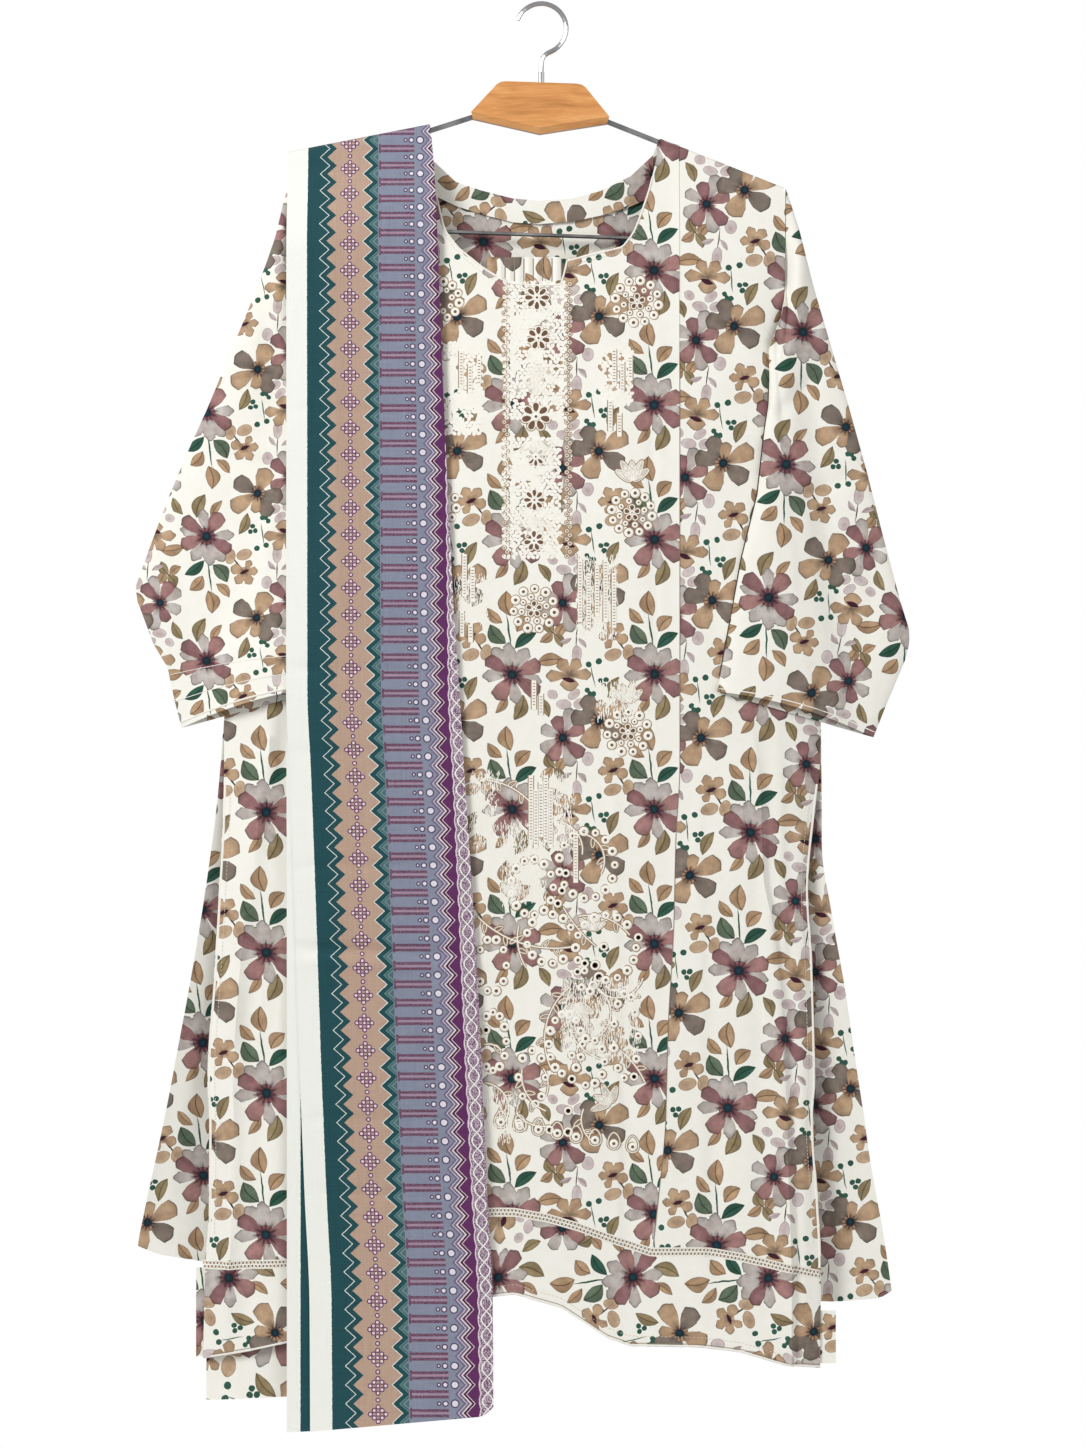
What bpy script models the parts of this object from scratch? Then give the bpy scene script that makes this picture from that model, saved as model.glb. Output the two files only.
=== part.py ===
"""A salwar kameez suit hanging on its clothes hanger.

The kameez hangs by its shoulders, the trousers by their waistband over the
hanger's cross bar, and the dupatta, folded lengthwise, lies over the wearer's
right shoulder, which is on the left as seen from the front.

Millimetres in the tables and functions, metres in the meshes. The origin is
the top of the inside of the hook, where a rail carries it. +Z is up, -Y is
the front, and a "drop" is a distance down from the origin.
"""

import math

import bmesh
import bpy

MM = 0.001

# ---------------------------------------------------------------- driving sizes

GAP = 0.3                 # seams and rests
CLOTH = 1.3               # wall of the kameez and the sleeves
FOLDED_CLOTH = 1.5        # wall of the dupatta, a stack of folded layers
TROUSER_CLOTH = 1.15      # wall of the trousers

WIRE_RADIUS = 2.2         # hook
HOOK_RADIUS = 22.5        # hook, to the middle of the wire
ARM_RADIUS = 2.4          # chromed arms
BAR_RADIUS = 1.8          # cross bar
TILT = math.radians(2.0)  # the hanger hangs a little lower on the right
PIVOT_X, PIVOT_DROP = 0.3, 70.2    # middle of the block's top edge

SHOULDER_ROUNDING = 85.0  # drop below the arms in which the body gets its depth
SEAM_TOP_X = 123.3        # front seams at the chest, each side of the middle


def table(columns, *rows):
    """A short table: each column's name, with its values from top to bottom."""
    names = columns.split()
    return {name: [row[i] for row in rows] for i, name in enumerate(names)}


# Side edges. Front and back share them down to the top of the side slits.
FRONT_SIDES = table(
    "drop left right",
    (140, -221.0, 218.0),
    (171, -222.0, 219.5),
    (256, -220.5, 218.5),
    (311, -214.0, 211.0),     # underarm
    (380, -216.0, 216.0),
    (450, -226.0, 225.0),
    (535, -246.0, 236.0),
    (600, -272.0, 246.5),
    (642, -284.9, 251.5),
    (680, -285.0, 250.8),     # slits open below here
    (726, -286.0, 246.0),
    (795, -289.5, 240.0),
    (860, -293.0, 243.6),
    (967, -299.5, 246.0),
    (997, -298.0, 244.0),
    (1080, -298.0, 249.0),
    (1124, -300.6, 251.0),
    (1223, -303.3, 250.2))

BACK_SIDES = table(
    "drop left right",
    (140, -221.0, 218.0),
    (171, -222.0, 219.5),
    (256, -220.5, 218.5),
    (311, -214.0, 211.0),
    (380, -216.0, 216.0),
    (450, -226.0, 225.0),
    (535, -246.0, 236.0),
    (600, -272.0, 246.5),
    (642, -284.9, 251.5),
    (680, -288.0, 252.2),
    (726, -292.5, 252.6),
    (760, -297.0, 253.1),
    (811, -304.5, 261.0),
    (887, -317.5, 274.0),
    (937, -327.0, 281.3),
    (997, -338.5, 290.7),
    (1047, -349.3, 297.9),
    (1088, -358.2, 305.5),
    (1117, -363.6, 310.5),
    (1157, -366.0, 316.4))

# Half depth of the body: at its middle, and at its side edges.
FRONT_DEPTH = table(
    "drop middle edge",
    (150, 13.0, 3.4),
    (230, 14.0, 5.2),
    (270, 14.5, 4.2),
    (311, 15.0, 0.8),
    (680, 16.5, 0.8),
    (800, 17.0, 2.5),
    (1000, 17.5, 6.0),
    (1225, 18.5, 10.0))

BACK_DEPTH = table(
    "drop middle edge",
    (150, 12.0, 3.4),
    (230, 13.0, 5.2),
    (270, 12.5, 4.2),
    (311, 12.5, 0.8),
    (680, 13.0, 0.8),
    (800, 13.5, 2.5),
    (1000, 15.0, 6.0),
    (1170, 16.0, 9.0))

# Where the front seams and the right side panel's pleat run.
FRONT_SEAMS = table(
    "drop left right",
    (140, -123.3, 123.3),
    (680, -123.3, 123.3),
    (750, -120.5, 119.7),
    (824, -118.5, 117.9),
    (926, -113.0, 112.5),
    (1003, -110.0, 110.5),
    (1067, -104.0, 104.4),
    (1117, -99.0, 99.0),
    (1202, -90.0, 89.0))

PLEATS = table(
    "drop left right height",
    (140, -172.0, 172.0, 0.0),
    (600, -188.0, 187.5, 0.0),
    (650, -191.0, 190.5, 0.8),
    (710, -197.0, 196.6, 4.0),
    (782, -201.0, 199.0, 5.0),
    (824, -208.0, 207.0, 5.0),
    (896, -216.0, 215.0, 5.0),
    (1130, -226.0, 224.0, 6.0))
PLEAT_RETURN = 4.0        # how soon the pleat falls back beyond its fold

# Necklines, from the left neck point to the right one.
NECK_LEFT, NECK_RIGHT = -104.4, 108.0

FRONT_NECKLINE = table(
    "x drop",
    (-102.0, 111.6),          # where it leaves the arm
    (-99.9, 138.6),
    (-94.5, 168.3),
    (-86.4, 202.5),
    (-73.8, 218.7),
    (-52.7, 235.8),
    (-36.9, 245.7),
    (-26.0, 250.5),
    (-0.9, 252.0),
    (18.9, 251.1),
    (22.5, 230.4),
    (39.6, 225.9),
    (56.0, 221.8),
    (72.9, 217.8),
    (82.4, 205.7),
    (87.3, 194.4),
    (96.8, 166.5),
    (103.8, 138.6),
    (105.6, 121.0))

BACK_NECKLINE = table(
    "x drop facing",
    (-102.0, 111.6, 160.0),
    (-97.2, 138.6, 169.0),
    (-76.8, 157.2, 178.5),
    (-54.3, 164.5, 185.8),
    (-25.3, 171.7, 193.2),
    (-2.7, 173.7, 194.8),
    (27.7, 171.9, 192.6),
    (53.5, 165.2, 187.2),
    (80.7, 152.5, 179.0),
    (101.0, 134.0, 170.5),
    (105.6, 121.0, 160.0))

FACING_STEP = 2.8         # in front of the back, middles of the walls

# Lower edges of the front's panels, of its border and of the back.
LACE_LINE = table(
    "x drop",
    (-303.3, 1126.8),
    (-225.9, 1125.0),
    (-144.9, 1107.0),
    (-90.9, 1088.1),
    (-45.9, 1078.7),
    (-23.4, 1078.7),
    (5.4, 1083.6),
    (34.2, 1091.7),
    (63.0, 1102.5),
    (98.1, 1114.2),
    (147.6, 1113.8),
    (179.1, 1118.7),
    (213.3, 1126.8),
    (251.1, 1135.8))
LACE_HEIGHT = 8.0

BORDER_HEM = table(
    "x drop",
    (-303.3, 1215.0),
    (-262.8, 1207.8),
    (-225.9, 1199.7),
    (-144.9, 1180.8),
    (-90.9, 1164.6),
    (-42.3, 1158.3),
    (-23.4, 1156.1),
    (-2.7, 1162.4),
    (18.0, 1168.2),
    (40.5, 1182.6),
    (59.4, 1195.2),
    (80.1, 1202.4),
    (141.3, 1203.3),
    (179.1, 1207.8),
    (221.4, 1220.4),
    (250.2, 1223.1))

BACK_HEM = table(
    "x drop",
    (-363.6, 1116.9),
    (-345.6, 1125.0),
    (-302.4, 1132.2),
    (-216.9, 1139.4),
    (0.0, 1153.8),
    (143.1, 1162.8),
    (264.6, 1168.2),
    (306.0, 1164.6),
    (316.4, 1157.4))

# Turned-back ends of the border: how far they reach, from where to where, and how
# far behind the border they lie, middles of the walls.
TURNBACKS = table(
    "inside outside top bottom behind",
    (-291.0, -309.6, 1134.0, 1213.5, 2.6),
    (238.0, 264.6, 1172.5, 1219.5, 1.9))


# The largest eyelets of the embroidery, cut through.
EYELETS = table(
    "x drop diameter",
    (48.4, 861.8, 5.8),
    (51.8, 872.3, 6.2),
    (39.1, 860.0, 4.5),
    (46.7, 879.6, 5.0),
    (32.6, 867.5, 4.2),
    (15.1, 806.5, 4.5),
    (18.8, 794.9, 4.3),
    (22.2, 779.4, 4.3),
    (87.1, 837.0, 4.7),
    (56.3, 845.1, 4.4),
    (84.2, 904.7, 4.4),
    (27.6, 963.3, 4.7),
    (83.3, 961.6, 4.5),
    (24.3, 991.8, 4.8),
    (24.3, 1010.7, 5.6),
    (7.7, 1009.0, 4.8),
    (-5.0, 985.7, 4.3),
    (-19.8, 1002.9, 4.4),
    (-49.2, 919.8, 4.6))
EYELET_SIDES = 8

# The gathered insert at the front neckline.
TUCKS = 8
TUCK_HEIGHT = 1.1
TUCKS_LEFT, TUCKS_RIGHT, TUCKS_TOP = -49.0, 18.2, 228.0

# Sleeves: outer fold and inner fold, from the armhole to the cuff.
SLEEVE_RIGHT_OUTER = table(
    "x drop",
    (218.2, 164.5),
    (231.3, 203.4),
    (245.7, 255.6),
    (266.4, 325.8),
    (277.2, 362.7),
    (293.4, 421.2),
    (306.0, 471.6),
    (322.7, 534.6),
    (330.8, 560.7),
    (331.2, 572.4),
    (327.6, 587.7),
    (311.0, 627.0),
    (298.8, 657.9))

SLEEVE_RIGHT_INNER = table(
    "x drop",
    (204.8, 311.0),
    (205.4, 335.0),
    (204.4, 360.0),
    (200.7, 383.4),
    (194.4, 440.0),
    (180.0, 497.7),
    (170.1, 551.7),
    (157.9, 617.2))

SLEEVE_LEFT_OUTER = table(
    "x drop",
    (-221.8, 149.5),
    (-230.4, 173.7),
    (-238.5, 208.8),
    (-246.6, 231.3),
    (-262.8, 272.7),
    (-279.9, 314.1),
    (-299.7, 361.8),
    (-316.8, 399.6),
    (-335.7, 444.6),
    (-351.9, 487.8),
    (-364.5, 522.9),
    (-362.7, 535.5),
    (-348.3, 574.2),
    (-335.7, 594.9),
    (-329.4, 624.6),
    (-323.1, 649.4))

SLEEVE_LEFT_INNER = table(
    "x drop",
    (-207.6, 311.0),
    (-208.4, 335.0),
    (-206.8, 362.0),
    (-203.0, 390.0),
    (-195.0, 450.0),
    (-187.0, 520.0),
    (-180.0, 611.1))

SLEEVE_DEPTH = table(      # half depth along the sleeve
    "along half_depth",
    (0.0, 3.8),
    (0.12, 4.8),
    (0.3, 5.5),
    (0.7, 5.5),
    (1.0, 5.4))
SLEEVE_CLEARANCE = 3.0     # from the body's front to the sleeve's back, middles of the walls
SLEEVE_SWING = 32.0        # how far beyond the body's edge it swings in front of it
SLEEVE_HEM_LIFT = 6.5      # the front of the cuff rises in a bow

# Dupatta: edges of its top layer, and how far it lies in front of the hanger.
DUPATTA = table(
    "drop left right depth_left depth_right",
    (100, -227.0, -99.9, 20.0, 20.0),
    (167, -227.0, -94.5, 26.5, 21.0),
    (292, -227.0, -89.6, 28.0, 21.5),
    (411, -227.0, -84.6, 28.0, 21.5),
    (536, -227.0, -78.3, 30.0, 22.5),
    (615, -227.0, -73.0, 30.0, 22.5),
    (691, -224.0, -68.4, 27.0, 22.5),
    (824, -219.5, -59.4, 24.0, 22.5),
    (937, -216.0, -53.6, 23.5, 22.5),
    (1067, -211.0, -47.7, 23.0, 22.5),
    (1165, -206.6, -43.0, 23.5, 23.0),
    (1285, -206.0, -42.3, 24.0, 23.5))
DUPATTA_HEM = table("x drop", (-227.0, 1278.5), (-206.0, 1277.6), (-54.9, 1264.5), (-44.0, 1261.8))
DUPATTA_CORNER = 6.0      # rounding of the front hem's right corner
DUPATTA_CREST_LEFT, DUPATTA_CREST_RIGHT = 131.1, 106.2
DUPATTA_ARCH = 8.3        # radius of the bend over the shoulder
DUPATTA_ROUNDING = 85.0
DUPATTA_LAYER = 1.9       # from the middle of one layer to the next
UNDER_LEFT, UNDER_RIGHT, UNDER_TOP = -227.0, -96.0, 662.0

DUPATTA_BACK = table(
    "drop left right depth_left depth_right",
    (100, -227.0, -99.9, 17.0, 17.0),
    (300, -227.0, -92.0, 17.5, 17.5),
    (615, -226.0, -74.0, 17.0, 17.5),
    (937, -224.0, -60.0, 19.0, 19.0),
    (1255, -222.0, -55.0, 20.5, 20.5))
DUPATTA_BACK_HEM = table("x drop", (-222.0, 1252.0), (-55.0, 1246.0))

# Trousers: each leg's fold edges, its half depth and the plane between the legs.
LEGS = table(
    "drop left right half_depth between",
    (236, -184.0, -97.0, 0.9, -4.4),
    (310, -190.0, -98.0, 1.2, -3.8),
    (445, -196.0, -99.0, 1.7, -3.0),
    (560, -213.0, -99.0, 2.2, -1.6),
    (650, -236.0, -99.0, 2.5, -1.0),
    (760, -253.0, -99.0, 2.8, -1.0),
    (880, -268.0, -99.0, 3.0, -1.0),
    (1000, -281.0, -100.0, 3.2, -1.0),
    (1120, -293.0, -100.0, 3.4, -1.0),
    (1214, -300.6, -100.0, 3.6, -1.0),
    (1253, -300.6, -100.0, 3.6, -1.0))
LEG_HEM = table("x drop", (-300.6, 1253.3), (-227.7, 1249.2), (-100.0, 1242.0))
BAND_LEFT, BAND_RIGHT = -184.0, -97.0
BAND_THICKNESS = 4.4
BAND_FRONT, BAND_BACK = 33.0, 48.0    # how far the waistband hangs each side of the bar

# Hanger, in its own frame: x from its middle, drop from the block's top edge.
BLOCK_FACE = table(
    "x drop",
    (-62.0, 28.4), (-40.0, 3.2), (-36.5, 0.9), (-32.0, 0.0),
    (32.0, 0.0), (36.5, 0.9), (40.0, 3.2), (62.0, 28.4), (0.0, 40.5))
BLOCK_MIDDLE = table(
    "x drop",
    (-60.5, 34.0), (-40.0, 3.2), (-36.5, 0.9), (-32.0, 0.0),
    (32.0, 0.0), (36.5, 0.9), (40.0, 3.2), (60.5, 34.0), (0.0, 45.5))
BLOCK_HALF_DEPTH = 8.0
BLOCK_CHAMFER = 4.0
ARM_START_X, ARM_START_DROP = 61.8, 32.4
ARM_SLOPE = 0.3576
ARM_SOCKET_X = 52.0       # how far into the block the arms reach
ARM_REACH = 215.1         # to the middle of the tube at the widest point
BAR_DROP = 135.9


# ---------------------------------------------------------------- small maths

def blend(low, high, part):
    return low + (high - low) * part


def smoothstep(value):
    part = min(1.0, max(0.0, value))
    return part * part * (3.0 - 2.0 * part)


def read(rows, column, key, at):
    """A smooth curve through a table's rows that never overshoots them."""
    xs, ys = rows[key], rows[column]
    if at <= xs[0]:
        return ys[0]
    if at >= xs[-1]:
        return ys[-1]
    i = max(k for k in range(len(xs) - 1) if xs[k] <= at)

    def secant(k):
        return (ys[k + 1] - ys[k]) / (xs[k + 1] - xs[k])

    def slope(k):
        if k == 0:
            return secant(0)
        if k == len(xs) - 1:
            return secant(k - 1)
        before, after = secant(k - 1), secant(k)
        if before * after <= 0.0:
            return 0.0
        return 2.0 * before * after / (before + after)

    width = xs[i + 1] - xs[i]
    t = (at - xs[i]) / width
    return ((2 * t ** 3 - 3 * t ** 2 + 1) * ys[i] + (t ** 3 - 2 * t ** 2 + t) * width * slope(i)
            + (3 * t ** 2 - 2 * t ** 3) * ys[i + 1] + (t ** 3 - t ** 2) * width * slope(i + 1))


def straight(rows, column, key, at):
    """Straight lines through a table's rows."""
    xs, ys = rows[key], rows[column]
    if at <= xs[0]:
        return ys[0]
    for k in range(len(xs) - 1):
        if at <= xs[k + 1]:
            return blend(ys[k], ys[k + 1], (at - xs[k]) / (xs[k + 1] - xs[k]))
    return ys[-1]


def along_path(rows, part):
    """The point at a part, from 0 to 1, of the length of a table's x, drop path."""
    points = list(zip(rows["x"], rows["drop"]))
    lengths = [math.dist(a, b) for a, b in zip(points, points[1:])]
    left = part * sum(lengths)
    for (a, b), length in zip(zip(points, points[1:]), lengths):
        if left <= length:
            return blend(a[0], b[0], left / length), blend(a[1], b[1], left / length)
        left -= length
    return points[-1]


def lens(part):
    """Fullness across a flattened hollow, 0 at its edges and 1 at its middle."""
    return max(0.0, 1.0 - abs(2.0 * part - 1.0) ** 4) ** 0.6


# ---------------------------------------------------------------- making solids

def material(name, colour, roughness, metallic=0.0):
    made = bpy.data.materials.new(name)
    made.use_nodes = True
    shader = made.node_tree.nodes["Principled BSDF"]
    shader.inputs["Base Color"].default_value = (*colour, 1.0)
    shader.inputs["Roughness"].default_value = roughness
    shader.inputs["Metallic"].default_value = metallic
    return made


def add_solid(name, points, faces, made_of):
    """One closed body from points in millimetres, its faces turned outwards."""
    mesh = bpy.data.meshes.new(name)
    mesh.from_pydata([(x * MM, y * MM, z * MM) for x, y, z in points], [], faces)
    work = bmesh.new()
    work.from_mesh(mesh)
    bmesh.ops.recalc_face_normals(work, faces=work.faces)
    work.to_mesh(mesh)
    work.free()
    mesh.materials.append(made_of)
    mesh.shade_smooth()
    mesh.set_sharp_from_angle(angle=math.radians(40))
    made = bpy.data.objects.new(name, mesh)
    bpy.context.collection.objects.link(made)
    return made


def grid_faces(rows, columns, wrap, start, flip):
    faces = []
    for r in range(rows - 1):
        for c in range(columns if wrap else columns - 1):
            d = (c + 1) % columns
            a, b = start + r * columns + c, start + r * columns + d
            halves = ([a, b, b + columns], [a, b + columns, a + columns])
            faces += [half[::-1] if flip else half for half in halves]
    return faces


def add_wall(name, outer, inner, made_of, wrap=False):
    """A wall between an outer and an inner grid of points, open at its ends.

    Each grid is a list of rows. With wrap the rows are closed rings.
    """
    rows, columns = len(outer), len(outer[0])
    size = rows * columns
    points = [p for row in outer for p in row] + [p for row in inner for p in row]
    faces = grid_faces(rows, columns, wrap, 0, False) + grid_faces(rows, columns, wrap, size, True)
    rims = [[r * columns + c for c in range(columns)] for r in (0, rows - 1)]
    if wrap:
        rims = [rim + rim[:1] for rim in rims]
    else:
        rims += [[r * columns + c for r in range(rows)] for c in (0, columns - 1)]
    for rim in rims:
        faces += [[a, b, size + b, size + a] for a, b in zip(rim, rim[1:])]
    return add_solid(name, points, faces, made_of)


def add_sheet(name, rows, thickness, made_of):
    """A wall from rows of (x, y, z, outward y, outward z) on its middle surface."""
    half = thickness / 2.0
    outer = [[(x, y + oy * half, z + oz * half) for x, y, z, oy, oz in row] for row in rows]
    inner = [[(x, y - oy * half, z - oz * half) for x, y, z, oy, oz in row] for row in rows]
    return add_wall(name, outer, inner, made_of)


def add_flat_tube(name, rings, thickness, made_of, fold=1.7):
    """A flattened tube. A ring is a list of (x, front z, back z, front y, back y) stations.

    The first and last stations are the folds at the tube's two edges.
    """
    half = thickness / 2.0
    outer, inner = [], []
    for ring in rings:
        ends = []
        for here, beside in ((ring[0], ring[1]), (ring[-1], ring[-2])):
            edge = (here[0], (here[3] + here[4]) / 2.0, here[1])
            next_in = (beside[0], (beside[3] + beside[4]) / 2.0, (beside[1] + beside[2]) / 2.0)
            reach = fold / math.hypot(next_in[0] - edge[0], next_in[2] - edge[2])
            ends.append((edge, tuple(blend(a, b, reach) for a, b in zip(edge, next_in))))
        stations = ring[1:-1]
        outside = ([ends[0][0]] + [(x, fy - half, fz) for x, fz, bz, fy, by in stations]
                   + [ends[1][0]] + [(x, by + half, bz) for x, fz, bz, fy, by in reversed(stations)])
        inside = ([ends[0][1]] + [(x, fy + half, fz) for x, fz, bz, fy, by in stations]
                  + [ends[1][1]] + [(x, by - half, bz) for x, fz, bz, fy, by in reversed(stations)])
        outer.append(outside)
        inner.append(inside)
    return add_wall(name, outer, inner, made_of, wrap=True)


def add_tube(name, path, radius, made_of, sides=8):
    """A round bar along a path in the XZ plane, with flat ends."""
    points = []
    for i, (x, z) in enumerate(path):
        before, after = path[max(0, i - 1)], path[min(len(path) - 1, i + 1)]
        length = math.dist(before, after)
        across = ((after[1] - before[1]) / length, -(after[0] - before[0]) / length)
        for k in range(sides):
            turn = math.tau * (k + 0.5) / sides
            out, side = radius * math.cos(turn), radius * math.sin(turn)
            points.append((x + across[0] * out, side, z + across[1] * out))
    faces = grid_faces(len(path), sides, True, 0, False)
    faces.append(list(range(sides))[::-1])
    faces.append([(len(path) - 1) * sides + k for k in range(sides)])
    return add_solid(name, points, faces, made_of)


def cut(piece, cutter):
    """Leaves a Boolean on the piece that takes the cutter away from it."""
    cutter.hide_render = True
    cutter.display_type = "WIRE"
    modifier = piece.modifiers.new("cut", "BOOLEAN")
    modifier.operation = "DIFFERENCE"
    modifier.solver = "EXACT"
    modifier.object = cutter


# ---------------------------------------------------------------- hanger frame

def hanger_point(x, drop):
    """A point of the hanger's own frame, tilted about the block's top, as (x, z)."""
    return (PIVOT_X + x * math.cos(TILT) - drop * math.sin(TILT),
            -(PIVOT_DROP + x * math.sin(TILT) + drop * math.cos(TILT)))


def arm_bend():
    """Radius of the bend that joins an arm to the bar, and its centre."""
    lean = math.cos(math.atan(ARM_SLOPE))
    rise = BAR_DROP - ARM_START_DROP - ARM_SLOPE * (ARM_REACH - ARM_START_X)
    radius = rise * lean / (1.0 + lean - ARM_SLOPE * lean)
    return radius, ARM_REACH - radius, BAR_DROP - radius


def arm_drop(x):
    """Drop of the middle of the arm at a place across the garment."""
    side = 1.0 if x >= 0.0 else -1.0
    near = hanger_point(side * ARM_START_X, ARM_START_DROP)
    far = hanger_point(side * (ARM_START_X + 100.0), ARM_START_DROP + 100.0 * ARM_SLOPE)
    return -blend(near[1], far[1], (x - near[0]) / (far[0] - near[0]))


def bar_drop(x):
    near, far = hanger_point(0.0, BAR_DROP), hanger_point(100.0, BAR_DROP)
    return -blend(near[1], far[1], (x - near[0]) / (far[0] - near[0]))


# ---------------------------------------------------------------- body surfaces

ON_ARM = ARM_RADIUS + GAP + CLOTH / 2.0      # middle of the cloth over an arm


def body_depth(x, drop, sides, depths):
    """Distance of a body panel's middle surface from the hanger's plane."""
    left, right = read(sides, "left", "drop", drop), read(sides, "right", "drop", drop)
    across = min(1.0, max(0.0, (x - left) / (right - left)))
    middle, edge = read(depths, "middle", "drop", drop), read(depths, "edge", "drop", drop)
    full = edge + (middle - edge) * lens(across)
    return ON_ARM + (full - ON_ARM) * smoothstep((drop - arm_drop(x)) / SHOULDER_ROUNDING)


def front_depth(x, drop):
    return body_depth(x, drop, FRONT_SIDES, FRONT_DEPTH)


def back_depth(x, drop):
    return body_depth(x, drop, BACK_SIDES, BACK_DEPTH)


WRAP = (0.0, 0.5, 1.0)            # steps of the cloth's bend over the arm
HEM_BAND = 5.0                    # the same steps where the edge is a neckline
NECK_ROUND = 2.4                  # the neckline leaves the arm within this distance
NECK_POINTS = (NECK_LEFT, NECK_LEFT + NECK_ROUND / 3.0, NECK_LEFT + NECK_ROUND / 1.5,
               NECK_RIGHT - NECK_ROUND / 1.5, NECK_RIGHT - NECK_ROUND / 3.0, NECK_RIGHT)
ROWS = (0.03, 0.065, 0.105, 0.15, 0.205, 0.27, 0.34, 0.41, 0.48, 0.55,
        0.62, 0.69, 0.76, 0.83, 0.90, 0.955, 1.0)


def body_column(top, neckline, place_x, lower_line, depth, side):
    """One column of a body panel, from its top edge down to its lower edge.

    top is where the column starts across the garment. On a shoulder the cloth
    bends over the arm; between the neck points it starts at the neckline.
    side is -1 for the front and 1 for the back.
    """
    column = []
    if top < neckline["x"][0] or top > neckline["x"][-1]:
        lean = math.cos(math.atan(ARM_SLOPE))
        first = math.asin(GAP / 2.0 / (ON_ARM - CLOTH / 2.0))
        inside = max(0.0, min(top - NECK_LEFT, NECK_RIGHT - top))
        first = blend(first, math.pi / 2.0, inside / NECK_ROUND)
        start = arm_drop(top)
        for step in WRAP:
            turn = blend(first, math.pi / 2.0, step)
            column.append((top, side * ON_ARM * math.sin(turn),
                           -start + ON_ARM / lean * math.cos(turn),
                           side * math.sin(turn), math.cos(turn)))
    else:
        neck_drop = straight(neckline, "drop", "x", top)
        start = neck_drop + HEM_BAND
        for step in WRAP:
            drop = neck_drop + HEM_BAND * step
            column.append((top, side * depth(top, drop), -drop, side, 0.0))
    bottom = where_meets(lower_line, place_x)[1]
    for part in ROWS:
        drop = blend(start, bottom, part)
        x = place_x(drop)
        column.append((x, side * depth(x, drop), -drop, side, 0.0))
    return column


def where_meets(line, place_x):
    """Where a column meets a line across the garment, as (x, drop)."""
    drop = line["drop"][0]
    for _ in range(4):
        drop = straight(line, "drop", "x", place_x(drop))
    return place_x(drop), drop


def turned(columns):
    """Rows from columns."""
    return [list(row) for row in zip(*columns)]


# ---------------------------------------------------------------- kameez pieces

SIDE_COLUMNS = (0.0, 0.35, 0.7, 1.0)          # from the seam to the pleat
EDGE_COLUMNS = (0.4, 0.72, 0.9, 0.97, 1.0)    # from the pleat to the side edge
CENTRE_TOPS = tuple(sorted((*NECK_POINTS, *FRONT_NECKLINE["x"], -SEAM_TOP_X, -114.0,
                            115.5, SEAM_TOP_X)))


def centre_places():
    """For each column of the front's middle panel: its top, and x as it goes down."""
    places = []
    for top in CENTRE_TOPS:
        across = (top + SEAM_TOP_X) / (2.0 * SEAM_TOP_X)

        def place_x(drop, across=across):
            return blend(read(FRONT_SEAMS, "left", "drop", drop) + GAP / 2.0,
                         read(FRONT_SEAMS, "right", "drop", drop) - GAP / 2.0, across)

        places.append((place_x(0.0) if abs(top) == SEAM_TOP_X else top, place_x))
    return places


def side_places(side):
    """For each column of a side panel: x as it goes down, and how far up the pleat it is."""
    name = "left" if side < 0 else "right"
    steps = [(False, part, 0.0) for part in SIDE_COLUMNS]
    steps += [(True, 0.0, PLEAT_RETURN)] + [(True, part, 0.0) for part in EDGE_COLUMNS]
    places = []
    for beyond, part, shift in steps:

        def place_x(drop, beyond=beyond, part=part, shift=shift):
            seam = read(FRONT_SEAMS, name, "drop", drop) + side * GAP / 2.0
            pleat = read(PLEATS, name, "drop", drop)
            edge = read(FRONT_SIDES, name, "drop", drop)
            ends = (pleat, edge) if beyond else (seam, pleat)
            return blend(*ends, part) + side * shift

        places.append((place_x, 0.0 if beyond else part))
    return places


def pleated_depth(side, part):
    """The front's surface, raised towards the fold of the right panel's pleat."""
    def depth(x, drop):
        raised = read(PLEATS, "height", "drop", drop) * part ** 1.5
        return front_depth(x, drop) + (raised if side > 0 else 0.0)

    return depth


def front_centre(made_of):
    """The middle of the front, from seam to seam, with its largest eyelets cut."""
    columns = [body_column(top, FRONT_NECKLINE, place_x, LACE_LINE, front_depth, -1)
               for top, place_x in centre_places()]
    panel = add_sheet("kameez_front_centre", turned(columns), CLOTH, made_of)

    points, faces = [], []
    for x, drop, diameter in zip(EYELETS["x"], EYELETS["drop"], EYELETS["diameter"]):
        start = len(points)
        for y in (-40.0, 0.0):
            for k in range(EYELET_SIDES):
                turn = math.tau * (k + 0.5) / EYELET_SIDES
                points.append((x + diameter / 2.0 * math.cos(turn), y,
                               -drop + diameter / 2.0 * math.sin(turn)))
        faces += grid_faces(2, EYELET_SIDES, True, start, False)
        faces.append([start + k for k in range(EYELET_SIDES)])
        faces.append([start + EYELET_SIDES + k for k in range(EYELET_SIDES)])
    cut(panel, add_solid("eyelet_cutter", points, faces, made_of))


def front_side(name, side, made_of):
    """A side panel of the front; the right one carries a pleat."""
    columns = [body_column(place_x(0.0), FRONT_NECKLINE, place_x, LACE_LINE,
                           pleated_depth(side, part), -1)
               for place_x, part in side_places(side)]
    add_sheet(name, turned(columns), CLOTH, made_of)


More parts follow.
